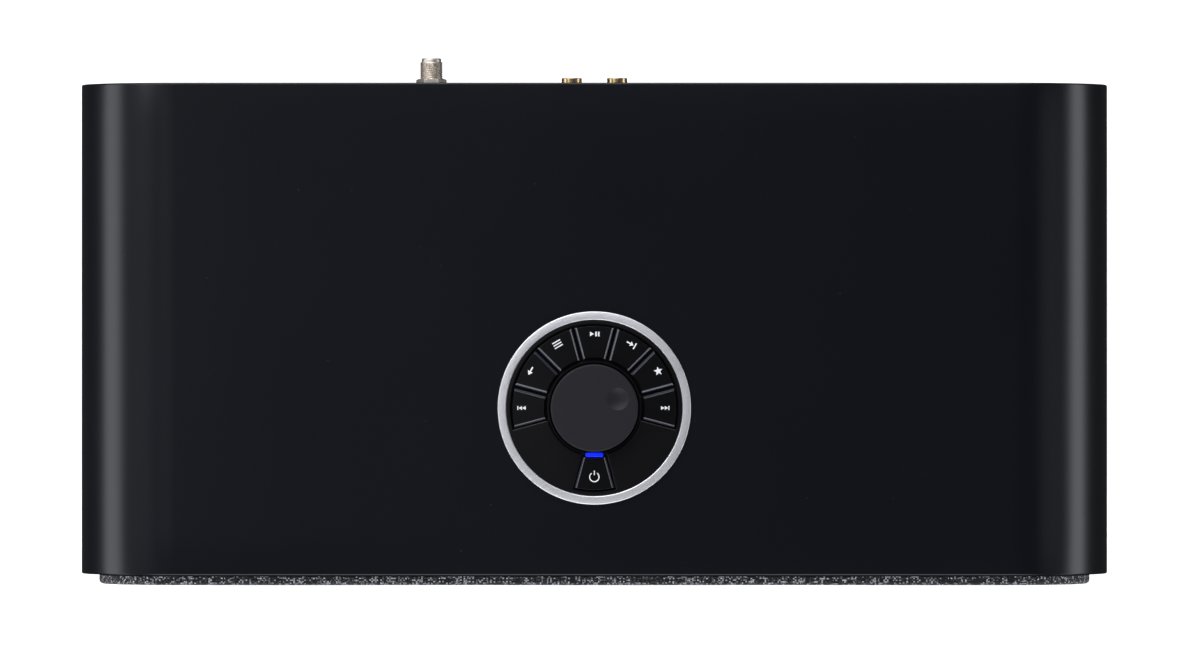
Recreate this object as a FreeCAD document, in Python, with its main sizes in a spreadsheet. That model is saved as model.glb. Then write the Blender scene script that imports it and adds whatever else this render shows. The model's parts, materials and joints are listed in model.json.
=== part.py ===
import FreeCAD, Part
import math
import os
import re
import Sketcher
from FreeCAD import Placement, Rotation, Vector

# Compact music system, in millimetres. +X to the right seen from the front, +Y to the back, +Z up.
# The origin is under the middle of the whole object's box, on the surface that the feet stand on.

# Driving sizes, one spreadsheet cell each
SIZES = {
    # Cabinet sleeve: one bent shell, open at the front and the rear
    "cabinet_width": 420,
    "sleeve_height": 165,
    "cabinet_depth": 200,
    "cabinet_wall": 12,
    "corner_radius": 40,
    "edge_rounding": 2,
    "board_fit": 0.2,
    # Feet and their screws
    "foot_height": 7,
    "foot_radius": 11,
    "foot_taper": 1.5,
    "foot_inset_side": 55,
    "foot_inset_end": 28,
    "foot_recess_radius": 5,
    "foot_recess_depth": 3.5,
    "foot_screw_head_radius": 4,
    "foot_screw_head_height": 2,
    "foot_screw_shank_radius": 1.75,
    "foot_screw_grip": 9,
    # Front baffle and the grille on it
    "baffle_thickness": 12,
    "grille_proud": 4.2,
    "grille_inset": 7.2,
    "cloth_thickness": 0.8,
    "cloth_rounding": 1.8,
    "cloth_edge_lift": 0.6,
    "grille_window_radius": 48,
    # Drivers, 75 mm class
    "driver_offset": 132,
    "driver_height": 89.5,
    "driver_sink": 2,
    "driver_flange_radius": 46,
    "driver_flange_thickness": 3,
    "driver_screw_circle": 43.2,
    "driver_screw_radius": 1.5,
    "driver_screw_head_radius": 2.5,
    "driver_screw_head_height": 1.4,
    "driver_screw_length": 9,
    "surround_outer_radius": 40.3,
    "surround_roll_outer": 37.1,
    "surround_roll_inner": 32.4,
    "surround_skin": 0.5,
    "cone_skin": 0.7,
    "cone_neck_depth": 12.6,
    "cone_lap": 2.2,
    "cap_margin": 2,
    "cap_rise": 7,
    "cap_skin": 0.6,
    "seat_gap": 0.1,
    "winding_height": 8.5,
    "basket_skin": 1.5,
    "basket_ledge_depth": 17,
    "basket_ledge_radius": 28,
    "basket_depth": 26,
    "former_radius": 13.1,
    "former_skin": 0.3,
    "winding_skin": 0.5,
    "coil_gap": 0.4,
    "magnet_radius": 27,
    "magnet_thickness": 12,
    "plate_thickness": 4,
    # Fascia in the middle of the grille
    "fascia_width": 136,
    "fascia_height": 64,
    "fascia_corner": 4,
    "fascia_skin": 2.4,
    "fascia_sink": 0.6,
    "fascia_gap": 0.6,
    "lens_width": 100,
    "lens_height": 24,
    "lens_rise": 13,
    "lens_thickness": 1.6,
    "display_depth": 8,
    "slot_drop": 14,
    "slot_width": 128,
    "slot_clear": 5,
    "felt_thickness": 1,
    "felt_depth": 2,
    # Disc drive
    "drive_width": 146,
    "drive_depth": 156,
    "drive_sheet": 1.5,
    "drive_drop": 22,
    "drive_leg_radius": 5,
    "drive_leg_inset": 12,
    "roller_radius": 4,
    "roller_length": 118,
    "axle_radius": 1.5,
    "axle_clearance": 0.05,
    "roller_setback": 12,
    "disc_radius": 60,
    "turntable_radius": 15,
    "turntable_thickness": 2,
    "hub_radius": 7.3,
    "hub_height": 2.6,
    "motor_radius": 12,
    "sled_travel": 34,
    "sled_length": 20,
    "sled_width": 40,
    "sled_height": 6,
    "rail_radius": 1.5,
    "rail_spacing": 30,
    # Inner walls, rear panel and battens
    "chamber_wall": 9,
    "chamber_offset": 80,
    "rear_recess": 5.5,
    "rear_panel_thickness": 9,
    "batten_size": 12,
    "panel_screw_radius": 1.6,
    "panel_screw_head_radius": 3.3,
    "panel_screw_head_height": 1.6,
    "panel_screw_length": 18,
    # Reflex ports
    "port_offset": 140,
    "port_height": 100,
    "port_radius": 17,
    "port_skin": 1.8,
    "port_length": 62,
    "port_flare": 6,
    # Socket plate and sockets
    "socket_plate_width": 164,
    "socket_plate_height": 72,
    "socket_plate_thickness": 1.2,
    "socket_plate_base": 34,
    "antenna_offset": 68,
    "antenna_height": 60,
    "antenna_reach": 12.9,
    "antenna_radius": 4.76,
    "antenna_root": 4.4,
    "antenna_tip_radius": 4.05,
    "antenna_tip_length": 1.55,
    "antenna_bore": 3.2,
    "nut_across_flats": 11,
    "nut_thickness": 5.2,
    "nut_face_reach": 4.4,
    "washer_radius": 7,
    "tuner_block": 11.6,
    "phono_spacing": 18.8,
    "phono_row_gap": 14,
    "phono_height": 90,
    "phono_reach": 3.9,
    "phono_radius": 4.15,
    "phono_skin": 0.5,
    "phono_shoulder": 0.4,
    "phono_core_gap": 0.7,
    "phono_pin_radius": 1.6,
    "phono_root": 2.5,
    "phono_block_margin": 6,
    "digital_offset": 46,
    "digital_height": 83,
    "digital_size": 13,
    "digital_spacing": 19,
    "inlet_offset": 52,
    "inlet_height": 52,
    "inlet_width": 26,
    "inlet_tall": 17,
    "inlet_cavity_width": 17,
    "inlet_cavity_tall": 9,
    "inlet_cavity_depth": 11,
    "inlet_pin_radius": 1.2,
    "inlet_pin_spacing": 8.6,
    # Boards
    "board_thickness": 1.6,
    "main_board_setback": 22,
    "main_board_width": 144,
    "main_board_height": 74,
    "power_board_width": 108,
    "power_board_depth": 96,
    "standoff_height": 6,
    "standoff_radius": 3,
    "board_inset": 2,
    "board_headroom": 4.9,
    "transformer_width": 38,
    "transformer_depth": 32,
    "capacitor_radius": 8,
    "capacitor_drop": 2,
    "capacitor_pitch": 22,
    "capacitor_inset": 20,
    "sink_width": 60,
    "sink_depth": 22,
    "sink_base": 4,
    "sink_drop": 4,
    "fin_thickness": 2,
    "fin_pitch": 8,
    "chip_size": 28,
    "chip_thickness": 2.4,
    # Control dial in the top
    "dial_forward": 32,
    "ring_outer_radius": 39.2,
    "ring_inner_radius": 35.75,
    "ring_height": 1.6,
    "ring_rounding": 0.45,
    "ring_lip": 0.8,
    "dial_fit": 0.1,
    "barrel_skin": 1.5,
    "barrel_depth": 17,
    "dial_hole_clearance": 0.35,
    "ring_nut_radius": 44,
    "ring_nut_thickness": 4,
    "face_inner_rise": 1.5,
    "face_outer_rise": 0.8,
    "deck_depth": 4,
    "deck_thickness": 1.5,
    "inner_wall_radius": 19.3,
    "inner_wall_skin": 1,
    "inner_wall_rise": 0.5,
    "barrel_step": 2.5,
    "light_fit": 0.1,
    "encoder_hole_radius": 9,
    "key_inner_radius": 20.2,
    "key_outer_radius": 33.4,
    "key_pitch_angle": 30,
    "key_side_gap": 0.65,
    "key_bevel": 0.8,
    "key_base_depth": 2.5,
    "key_stem_length": 6,
    "key_stem_width": 3,
    "key_stem_radius_at": 27,
    "key_collar": 1,
    "key_travel_room": 1,
    "stem_gap": 0.3,
    "mat_depth": 6.5,
    "board_depth": 9,
    "knob_radius": 17.7,
    "knob_rise": 7,
    "knob_skin": 1.6,
    "knob_rounding": 0.7,
    "knob_skirt_depth": 2.6,
    "knob_hub_radius": 5,
    "dimple_radius": 4.55,
    "dimple_depth": 1.1,
    "dimple_offset": 10.2,
    "dimple_angle": 21,
    "encoder_size": 12,
    "encoder_height": 5.5,
    "bushing_radius": 4.4,
    "bushing_height": 2,
    "shaft_radius": 3,
    "shaft_clearance": 0.06,
    "shaft_pin_radius": 1.5,
    "plunger_radius": 4.2,
    "plunger_height": 2.4,
    "light_length": 7.2,
    "light_width": 1.7,
    "light_radius_at": 19,
    "light_rise": 1.2,
    # Speaker wires
    "wire_radius": 1.2,
    "wire_bend": 12,
    "wire_setback": 11,
    "wire_level": 12,
    "wire_drop": 8.6,
    "wire_end_inset": 5,
}

# Places worked out from the driving sizes; each is an expression over the cells above
PLACES = {
    "overall_depth": "grille_proud + cabinet_depth + antenna_reach",
    "front_y": "grille_proud - overall_depth / 2",
    "rear_y": "front_y + cabinet_depth",
    "floor_z": "foot_height + cabinet_wall",
    "top_z": "foot_height + sleeve_height",
    "ceiling_z": "top_z - cabinet_wall",
    "middle_z": "foot_height + sleeve_height / 2",
    "inside_width": "cabinet_width - 2 * cabinet_wall",
    "inside_height": "sleeve_height - 2 * cabinet_wall",
    "inside_radius": "corner_radius - cabinet_wall",
    "baffle_back_y": "front_y + baffle_thickness",
    "grille_width": "cabinet_width - 2 * grille_inset",
    "grille_height": "sleeve_height - 2 * grille_inset",
    "grille_radius": "corner_radius - grille_inset",
    "panel_back_y": "rear_y - rear_recess",
    "panel_front_y": "panel_back_y - rear_panel_thickness",
    "plate_back_y": "panel_back_y + socket_plate_thickness",
    "main_board_y": "panel_back_y - main_board_setback",
    "dial_y": "front_y + cabinet_depth / 2 - dial_forward",
    "barrel_radius": "ring_inner_radius - dial_fit",
    "trough_outer": "barrel_radius - barrel_skin",
    "slot_z": "driver_height - slot_drop",
    "drive_floor_z": "slot_z - drive_drop",
    "roof_z": "slot_z + slot_clear / 2 + 0.3",
    "disc_y": "baffle_back_y + roller_setback + roller_radius + disc_radius",
    "roller_z": "slot_z - slot_clear / 2 - 0.3 - roller_radius",
    "table_z": "slot_z - slot_clear / 2 - 0.4 - turntable_thickness - hub_height",
    "rail_z": "table_z - sled_height / 2",
    "rail_front": "disc_y + motor_radius + 5",
    "rail_rear": "rail_front + 2 + sled_length + sled_travel",
    "phono_wide": "phono_spacing + 2 * phono_block_margin",
    "phono_tall": "phono_row_gap + 2 * phono_block_margin",
    "phono_base": "phono_height - phono_row_gap - phono_block_margin",
    "wire_y": "driver_y + driver_flange_thickness + wire_setback",
    "wire_z": "floor_z + standoff_height + wire_level",
    "power_board_z": "floor_z + standoff_height",
    "board_top_z": "power_board_z + board_thickness",
    "part_room": "drive_floor_z - board_headroom - board_top_z",
    "main_board_base": "floor_z + batten_size + board_inset / 2",
    "fascia_y": "front_y - grille_proud + fascia_sink",
    "foot_x": "cabinet_width / 2 - foot_inset_side",
    "foot_front_y": "front_y + foot_inset_end",
    "foot_rear_y": "rear_y - foot_inset_end",
    "driver_y": "front_y + driver_sink",
}

TO_FRONT = Rotation(Vector(1, 0, 0), 90)
TO_REAR = Rotation(Vector(1, 0, 0), -90)
TO_RIGHT = Rotation(Vector(0, 1, 0), 90)
SIDES = {"left": -1, "right": 1}

doc = FreeCAD.newDocument("CompactMusicSystem")
sheet = doc.addObject("Spreadsheet::Sheet", "Sizes")
for row, (alias, number) in enumerate(SIZES.items(), 1):
    sheet.set(f"A{row}", alias)
    sheet.set(f"B{row}", str(number))
    sheet.setAlias(f"B{row}", alias)
doc.recompute()

NODES = []


def bind(text):
    """Turn words into cells of the sheet, and places into their own expressions."""
    def swap(match):
        word = match.group(0)
        if word in PLACES:
            return "(" + bind(PLACES[word]) + ")"
        if word in SIZES:
            return "Sizes." + word
        return word
    return re.sub(r"[a-z_]+", swap, str(text))


def value(text):
    """The number that an expression stands for now."""
    return float(sheet.evalExpression(bind(text)))


def place(piece, x=0, y=0, z=0, turn=None):
    """Set a piece's turn, and bind its position to the sheet."""
    piece.Placement = Placement(Vector(0, 0, 0), turn or Rotation())
    for letter, text in (("x", x), ("y", y), ("z", z)):
        piece.setExpression(".Placement.Base." + letter, bind(text))
    return piece


def box(name, low, size, turn=None):
    """A block from its lowest corner and its lengths along X, Y and Z."""
    piece = doc.addObject("Part::Box", name)
    for prop, text in zip(("Length", "Width", "Height"), size):
        piece.setExpression(prop, bind(text))
    return place(piece, *low, turn)


def block(name, centre_x, front, base, size):
    """A block centred on an X, with its front and its base given."""
    return box(name, (f"({centre_x}) - ({size[0]}) / 2", front, base), size)


def rod(name, at, radius, length, turn=None, sweep=None):
    """A cylinder from the middle of its first end."""
    piece = doc.addObject("Part::Cylinder", name)
    piece.setExpression("Radius", bind(radius))
    piece.setExpression("Height", bind(length))
    if sweep is not None:
        piece.setExpression("Angle", bind(sweep))
    return place(piece, *at, turn)


def join(name, *pieces):
    """Pieces made as one solid."""
    fused = doc.addObject("Part::MultiFuse", name)
    fused.Shapes = list(pieces)
    return fused


def group(name, *pieces):
    """Separate solids that share one node."""
    compound = doc.addObject("Part::Compound", name)
    compound.Links = list(pieces)
    return compound


def cut(name, base, *tools):
    """A piece with other shapes taken out of it."""
    result = doc.addObject("Part::Cut", name)
    result.Base = base
    result.Tool = tools[0] if len(tools) == 1 else join(name + "_tools", *tools)
    return result


def copies(name, source, spots, turn=None):
    """The same piece at several places, as links."""
    links = []
    for number, spot in enumerate(spots, 1):
        link = doc.addObject("App::Link", f"{name}_{number}")
        link.LinkedObject = source
        links.append(place(link, *spot, turn))
    return links


def arc_of(start, end, radius):
    """The arc of a radius between two points, to the left of the way for a positive radius."""
    chord = end - start
    middle = (start + end) * 0.5
    side = Vector(-chord.y, chord.x, 0).normalize()
    rise = math.sqrt(max(radius ** 2 - (chord.Length / 2) ** 2, 0))
    centre = middle + side * (rise if radius > 0 else -rise)
    circle = Part.Circle(centre, Vector(0, 0, 1), abs(radius))
    first, last = (start, end) if radius > 0 else (end, start)
    return Part.ArcOfCircle(circle, circle.parameter(first), circle.parameter(last))


def sketch(body, name, plane, outline):
    """A closed outline. Each point is x, y and, where an arc leaves it, the arc's radius.

    A positive radius turns left along the outline and a negative one turns right. Every point's
    place and every radius is bound to the sheet, so the sketch has no freedom left.
    """
    drawing = body.newObject("Sketcher::SketchObject", name)
    origin = [item for item in body.Origin.OriginFeatures if item.Role == plane][0]
    drawing.AttachmentSupport = [(origin, "")]
    drawing.MapMode = "FlatFace"
    points = [Vector(value(point[0]), value(point[1]), 0) for point in outline]
    ends = []
    for number, point in enumerate(outline):
        start = points[number]
        end = points[(number + 1) % len(points)]
        if len(point) == 3:
            drawing.addGeometry(arc_of(start, end, value(point[2])), False)
            ends.append((1, 2) if value(point[2]) > 0 else (2, 1))
        else:
            drawing.addGeometry(Part.LineSegment(start, end), False)
            ends.append((1, 2))
    for number in range(len(outline)):
        after = (number + 1) % len(outline)
        link = Sketcher.Constraint("Coincident", number, ends[number][1], after, ends[after][0])
        drawing.addConstraint(link)
    for number, point in enumerate(outline):
        for kind, text in (("DistanceX", point[0]), ("DistanceY", point[1])):
            row = Sketcher.Constraint(kind, -1, 1, number, ends[number][0], value(text))
            drawing.setExpression(f"Constraints[{drawing.addConstraint(row)}]", bind(text))
        if len(point) == 3:
            row = Sketcher.Constraint("Radius", number, abs(value(point[2])))
            text = f"abs({point[2]})"
            drawing.setExpression(f"Constraints[{drawing.addConstraint(row)}]", bind(text))
    return drawing


def pad(name, plane, outline, length):
    """A closed outline pushed out square to its plane."""
    body = doc.addObject("PartDesign::Body", name)
    feature = body.newObject("PartDesign::Pad", name + "_pad")
    feature.Profile = sketch(body, name + "_outline", plane, outline)
    feature.setExpression("Length", bind(length))
    return body


def turned(name, outline, angle=360):
    """A closed outline of radius and height turned about the Z axis."""
    body = doc.addObject("PartDesign::Body", name)
    feature = body.newObject("PartDesign::Revolution", name + "_turn")
    drawing = sketch(body, name + "_outline", "XZ_Plane", outline)
    feature.Profile = drawing
    feature.ReferenceAxis = (drawing, ["V_Axis"])
    feature.Angle = angle
    feature.Midplane = angle != 360
    return body


def rounded(width, height, radius, low_x=None, low_y=None):
    """The outline of a rectangle with rounded corners, centred unless its low corner is given."""
    left = low_x if low_x is not None else f"-({width}) / 2"
    base = low_y if low_y is not None else f"-({height}) / 2"
    right = f"({left}) + ({width})"
    top = f"({base}) + ({height})"
    return [
        (f"({left}) + ({radius})", base), (f"({right}) - ({radius})", base, radius),
        (right, f"({base}) + ({radius})"), (right, f"({top}) - ({radius})", radius),
        (f"({right}) - ({radius})", top), (f"({left}) + ({radius})", top, radius),
        (left, f"({top}) - ({radius})"), (left, f"({base}) + ({radius})", radius),
    ]


def soften(body, radius, wanted):
    """Round the edges of a body's tip that a test picks out."""
    doc.recompute()
    base = body.Tip
    names = [f"Edge{number}" for number, edge in enumerate(base.Shape.Edges, 1) if wanted(edge)]
    feature = body.newObject("PartDesign::Fillet", base.Name + "_soft")
    feature.Base = (base, names)
    feature.setExpression("Radius", bind(radius))
    return body


def upright(name, outline, front, length, z=0, x=0):
    """An outline seen from the front, pushed from a front plane towards the rear."""
    body = pad(name, "XZ_Plane", outline, length)
    return place(body, x, f"({front}) + ({length})", z)


def keep(node, piece):
    """Name a finished sub-part."""
    piece.Label = node
    NODES.append(piece)
    return piece


# Cabinet
def cabinet_sleeve():
    outer = upright("sleeve_shell", rounded("cabinet_width", "sleeve_height", "corner_radius"),
                    "front_y", "cabinet_depth", "middle_z")
    soften(outer, "edge_rounding", lambda edge: edge.BoundBox.YLength < 1e-6)
    inner = upright("sleeve_hollow", rounded("inside_width", "inside_height", "inside_radius"),
                    "front_y - 5", "cabinet_depth + 10", "middle_z")
    hole = rod("dial_hole", (0, "dial_y", "ceiling_z - 5"), "barrel_radius + dial_hole_clearance",
               "cabinet_wall + 10")
    pilots = copies("foot_pilot", rod("foot_pilot_shape", (0, 0, 0), "foot_screw_shank_radius",
                                      "foot_screw_grip"), foot_spots("foot_height"))
    return keep("cabinet_sleeve", cut("sleeve", outer, inner, hole, *pilots))


def foot_spots(height):
    return [(f"{side} * foot_x", depth, height) for side in SIDES.values()
            for depth in ("foot_front_y", "foot_rear_y")]


def rubber_feet():
    foot = turned("foot_shape", [
        ("foot_screw_shank_radius", "foot_recess_depth"), ("foot_recess_radius", "foot_recess_depth"),
        ("foot_recess_radius", 0), ("foot_radius - foot_taper - 1", 0),
        ("foot_radius - foot_taper", 1), ("foot_radius", "foot_height"),
        ("foot_screw_shank_radius", "foot_height"),
    ])
    return keep("rubber_feet", group("feet", *copies("foot", foot, foot_spots(0))))


def foot_screws():
    head = "foot_screw_head_radius"
    rise = "foot_recess_depth - foot_screw_head_height"
    top = "foot_height + foot_screw_grip"
    screw = turned("foot_screw_shape", [
        (0, rise), (head, rise), (head, "foot_recess_depth"),
        ("foot_screw_shank_radius", "foot_recess_depth"), ("foot_screw_shank_radius", f"{top} - 1.5"),
        (0, top),
    ])
    return keep("foot_screws", group("feet_screws", *copies("foot_screw", screw, foot_spots(0))))


def chamber_walls():
    walls = []
    for name, side in SIDES.items():
        wall = block(f"{name}_wall_sheet", f"{side} * chamber_offset", "baffle_back_y", "floor_z", (
            "chamber_wall", "panel_front_y - baffle_back_y", "inside_height"))
        hole = rod(f"{name}_wire_hole", (f"{side} * chamber_offset - chamber_wall", "wire_y", "wire_z"),
                   "wire_radius * 3", "2 * chamber_wall", TO_RIGHT)
        walls.append(cut(f"{name}_wall", wall, hole))
    return keep("chamber_walls", group("walls", *walls))


def rear_battens():
    inner = "(chamber_offset - chamber_wall / 2)"
    outer = "(chamber_offset + chamber_wall / 2)"
    reach = "(inside_width / 2 - inside_radius)"
    front = "panel_front_y - batten_size"
    bars = []
    for level, base in (("upper", "ceiling_z - batten_size"), ("lower", "floor_z")):
        bars.append(block(f"{level}_batten", 0, front, base, (f"2 * {inner}", "batten_size", "batten_size")))
        for name, side in SIDES.items():
            bars.append(block(f"{level}_{name}_batten", f"{side} * ({outer} + {reach}) / 2", front, base,
                              (f"{reach} - {outer}", "batten_size", "batten_size")))
    for name, side in SIDES.items():
        centre = f"{side} * (inside_width - batten_size) / 2"
        bars.append(block(f"{name}_upright_batten", centre, front, "floor_z + inside_radius",
                          ("batten_size", "batten_size", "inside_height - 2 * inside_radius")))
    pilots = copies("batten_pilot", panel_pilot(), panel_screw_spots("panel_back_y + 1"), TO_FRONT)
    solids = [cut(bar.Name + "_drilled", bar, join(bar.Name + "_pilots", *pilots)) for bar in bars]
    return keep("rear_battens", group("battens", *solids))


def panel_pilot():
    return rod("panel_pilot_shape", (0, 0, 0), "panel_screw_radius", "panel_screw_length + 1")


def panel_screw_spots(depth):
    spots = []
    for side in SIDES.values():
        for across in ("chamber_offset / 2", "chamber_offset + 2 * batten_size"):
            for level in ("floor_z + batten_size / 2", "ceiling_z - batten_size / 2"):
                spots.append((f"{side} * ({across})", depth, level))
        spots.append((f"{side} * (inside_width - batten_size) / 2", depth, "middle_z"))
    return spots


def rear_panel():
    board = upright("rear_board", rounded("inside_width - 2 * board_fit", "inside_height - 2 * board_fit",
                                          "inside_radius - board_fit"),
                    "panel_front_y", "rear_panel_thickness", "middle_z")
    through = "rear_panel_thickness + 10"
    back = "panel_front_y - 5"
    holes = copies("panel_screw_hole", panel_pilot(), panel_screw_spots("panel_back_y + 1"), TO_FRONT)
    for side in SIDES.values():
        holes.append(rod("port_hole", (f"{side} * port_offset", back, "port_height"),
                         "port_radius + port_skin", through, TO_REAR))
    holes.append(block("phono_hole", 0, back, "phono_base - board_fit",
                       ("phono_wide + 2 * board_fit", through, "phono_tall + 2 * board_fit")))
    holes.append(block("tuner_hole", "-antenna_offset", back, "antenna_height - tuner_block / 2 - board_fit",
                       ("tuner_block + 2 * board_fit", through, "tuner_block + 2 * board_fit")))
    holes.append(block("digital_hole", "digital_offset", back,
                       "digital_height - digital_size / 2 - board_fit",
                       ("digital_spacing + digital_size + 2 * board_fit", through,
                        "digital_size + 2 * board_fit")))
    holes.append(block("inlet_hole", "inlet_offset", back, "inlet_height - inlet_tall / 2 - board_fit",
                       ("inlet_width + 2 * board_fit", through, "inlet_tall + 2 * board_fit")))
    return keep("rear_panel", cut("rear_board_cut", board, *holes))


def rear_panel_screws():
    head = "panel_screw_head_radius"
    screw = turned("panel_screw_shape", [
        (0, "-panel_screw_head_height"), (f"{head} - 1", "-panel_screw_head_height"),
        (head, "-panel_screw_head_height + 0.8"), (head, 0), ("panel_screw_radius", 0),
        ("panel_screw_radius", "panel_screw_length - 2"), (0, "panel_screw_length"),
    ])
    screws = copies("panel_screw", screw, panel_screw_spots("panel_back_y"), TO_FRONT)
    return keep("rear_panel_screws", group("panel_screws", *screws))


def front_baffle():
    board = upright("baffle_board", rounded("inside_width - 2 * board_fit",
                                            "inside_height - 2 * board_fit", "inside_radius - board_fit"),
                    "front_y", "baffle_thickness", "middle_z")
    holes = []
    for name, side in SIDES.items():
        spot = f"{side} * driver_offset"
        holes.append(rod(f"{name}_flange_seat", (spot, "driver_y + driver_flange_thickness",
                                                 "driver_height"),
                         "driver_flange_radius + board_fit", "driver_flange_thickness + 5", TO_FRONT))
        holes.append(rod(f"{name}_driver_hole", (spot, "baffle_back_y + 5", "driver_height"),
                         "surround_outer_radius", "baffle_thickness + 10", TO_FRONT))
    window = ("fascia_width - 4 * fascia_skin", "baffle_thickness + 10",
              "fascia_height - 4 * fascia_skin")
    holes.append(block("drive_window", 0, "front_y - 5",
                       "driver_height - fascia_height / 2 + 2 * fascia_skin", window))
    pilot = rod("driver_pilot", (0, 0, 0), "driver_screw_radius", "driver_screw_length")
    holes += copies("driver_pilot_copy", pilot, driver_screw_spots("driver_y"), TO_REAR)
    return keep("front_baffle", cut("baffle_cut", board, *holes))


# Grille
def grille_outline(inset):
    return rounded(f"grille_width - 2 * ({inset})", f"grille_height - 2 * ({inset})",
                   f"grille_radius - ({inset})")


def fascia_outline(margin):
    return rounded(f"fascia_width + 2 * ({margin})", f"fascia_height + 2 * ({margin})",
                   f"fascia_corner + ({margin})")


def grille_frame():
    depth = "grille_proud - cloth_thickness"
    front = "front_y - grille_proud + cloth_thickness"
    sheet_part = upright("grille_sheet", grille_outline("cloth_thickness"), front, depth, "middle_z")
    holes = [upright("grille_fascia_hole", fascia_outline("fascia_gap + cloth_thickness"),
                     "front_y - grille_proud - 5", "20", "driver_height")]
    for name, side in SIDES.items():
        holes.append(rod(f"{name}_grille_window", (f"{side} * driver_offset", "front_y + 5",
                                                   "driver_height"),
                         "grille_window_radius", "grille_proud + 10", TO_FRONT))
    return keep("grille_frame", cut("grille_frame_cut", sheet_part, *holes))


def grille_fabric():
    skin = upright("cloth_outer", grille_outline("0"), "front_y - grille_proud",
                   "grille_proud - cloth_edge_lift", "middle_z")
    soften(skin, "cloth_rounding", lambda edge: edge.BoundBox.YMax < -value("grille_proud") + 1
           and edge.BoundBox.YLength < 1e-6)
    inner = upright("cloth_inner", grille_outline("cloth_thickness"),
                    "front_y - grille_proud + cloth_thickness", "20", "middle_z")
    outside = cut("cloth_tray", skin, inner)
    hole = upright("cloth_hole", fascia_outline("fascia_gap + cloth_thickness"),
                   "front_y - grille_proud - 5", "20", "driver_height")
    lining = upright("cloth_lining", fascia_outline("fascia_gap + cloth_thickness"),
                     "front_y - grille_proud", "grille_proud - cloth_edge_lift", "driver_height")
    opening = upright("cloth_opening", fascia_outline("fascia_gap"), "front_y - grille_proud - 5", "20",
                      "driver_height")
    return keep("grille_fabric", join("cloth", cut("cloth_front", outside, hole),
                                      cut("cloth_edge", lining, opening)))


# Fascia, display and slot
def front_fascia():
    shell = upright("fascia_shell", fascia_outline("0"), "fascia_y", "front_y - fascia_y",
                    "driver_height")
    hollow = upright("fascia_hollow", fascia_outline("-fascia_skin"), "fascia_y + fascia_skin", "20",
                     "driver_height")
    slot = upright("fascia_slot", rounded("slot_width", "slot_clear + 2 * felt_thickness",
                                          "slot_clear / 2"), "fascia_y - 5", "20", "slot_z")
    window = upright("fascia_window", rounded("lens_width", "lens_height", "fascia_corner / 2"),
                     "fascia_y - 5", "20", "driver_height + lens_rise")
    return keep("front_fascia", cut("fascia", shell, hollow, slot, window))


def display_lens():
    lens = upright("lens_plate", rounded("lens_width - 0.2", "lens_height - 0.2", "fascia_corner / 2"),
                   "fascia_y + 0.2", "fascia_skin - 0.2", "driver_height + lens_rise")
    return keep("display_lens", lens)


def display_module():
    base = "driver_height + lens_rise - lens_height / 2"
    glass = block("display_glass", 0, "fascia_y + fascia_skin", base,
                  ("lens_width - 6", "lens_thickness", "lens_height"))
    case = block("display_case", 0, "fascia_y + fascia_skin + lens_thickness", base,
                 ("lens_width - 2", "display_depth", "lens_height"))
    return keep("display_module", group("display", glass, case))


def slot_felt():
    strips = []
    for name, base in (("upper", "slot_z + slot_clear / 2"),
                       ("lower", "slot_z - slot_clear / 2 - felt_thickness")):
        strips.append(block(f"{name}_felt", 0, "fascia_y + (fascia_skin - felt_depth) / 2", base,
                            ("slot_width - slot_clear - 2 * felt_thickness", "felt_depth",
                             "felt_thickness")))
    return keep("slot_felt", group("felts", *strips))


# Disc drive
def drive_base():
    base = block("drive_floor", 0, "baffle_back_y", "drive_floor_z",
                 ("drive_width", "drive_depth", "drive_sheet"))
    solids = [base]
    for name, side in SIDES.items():
        wall = block(f"{name}_drive_side", f"{side} * (drive_width - drive_sheet) / 2", "baffle_back_y",
                     "drive_floor_z", ("drive_sheet", "drive_depth", "roof_z - drive_floor_z"))
        ear = block(f"{name}_roller_ear", f"{side} * (roller_length / 2 + 4)",
                    "baffle_back_y + roller_setback - 4", "drive_floor_z",
                    ("4", "8", "roller_z + 4 - drive_floor_z"))
        solids += [wall, ear]
        for end, depth in (("front", "baffle_back_y + drive_leg_inset"),
                           ("rear", "baffle_back_y + drive_depth - drive_leg_inset")):
            solids.append(rod(f"{name}_{end}_leg", (f"{side} * (drive_width / 2 - drive_leg_inset)",
                                                    depth, "floor_z"),
                              "drive_leg_radius", "drive_floor_z - floor_z"))
    for name, depth in (("front", "rail_front - 4"), ("rear", "rail_rear")):
        solids.append(block(f"{name}_rail_post", 0, depth, "drive_floor_z",
                            ("rail_spacing + 8", "4", "rail_z + 3 - drive_floor_z")))
    bore = rod("roller_bore", ("-(roller_length / 2 + 10)", "baffle_back_y + roller_setback", "roller_z"),
               "axle_radius + axle_clearance", "roller_length + 20", TO_RIGHT)
    sockets = [rod("rail_bore", (f"{side} * rail_spacing / 2", "rail_front - 3", "rail_z"),
                   "rail_radius", "rail_rear - rail_front + 6", TO_REAR)
               for side in SIDES.values()]
    return keep("drive_base", cut("drive_tray", join("drive_body", *solids), bore, *sockets))


def drive_cover():
    lid = block("drive_lid", 0, "baffle_back_y", "roof_z", ("drive_width", "drive_depth", "drive_sheet"))
    press = rod("lid_pressing", (0, "disc_y", "roof_z + drive_sheet / 2"), "disc_radius / 2", "drive_sheet")
    return keep("drive_cover", cut("drive_lid_pressed", lid, press))


def feed_roller():
    half = "roller_length / 2"
    roller = turned("roller_shape", [
        (0, f"-({half}) - 6"), ("axle_radius", f"-({half}) - 6"), ("axle_radius", f"-({half})"),
        ("roller_radius", f"-({half})"), ("roller_radius - 0.8", 0), ("roller_radius", half),
        ("axle_radius", half), ("axle_radius", f"{half} + 6"), (0, f"{half} + 6"),
    ])
    return keep("feed_roller", place(roller, 0, "baffle_back_y + roller_setback", "roller_z", TO_RIGHT))


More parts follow.
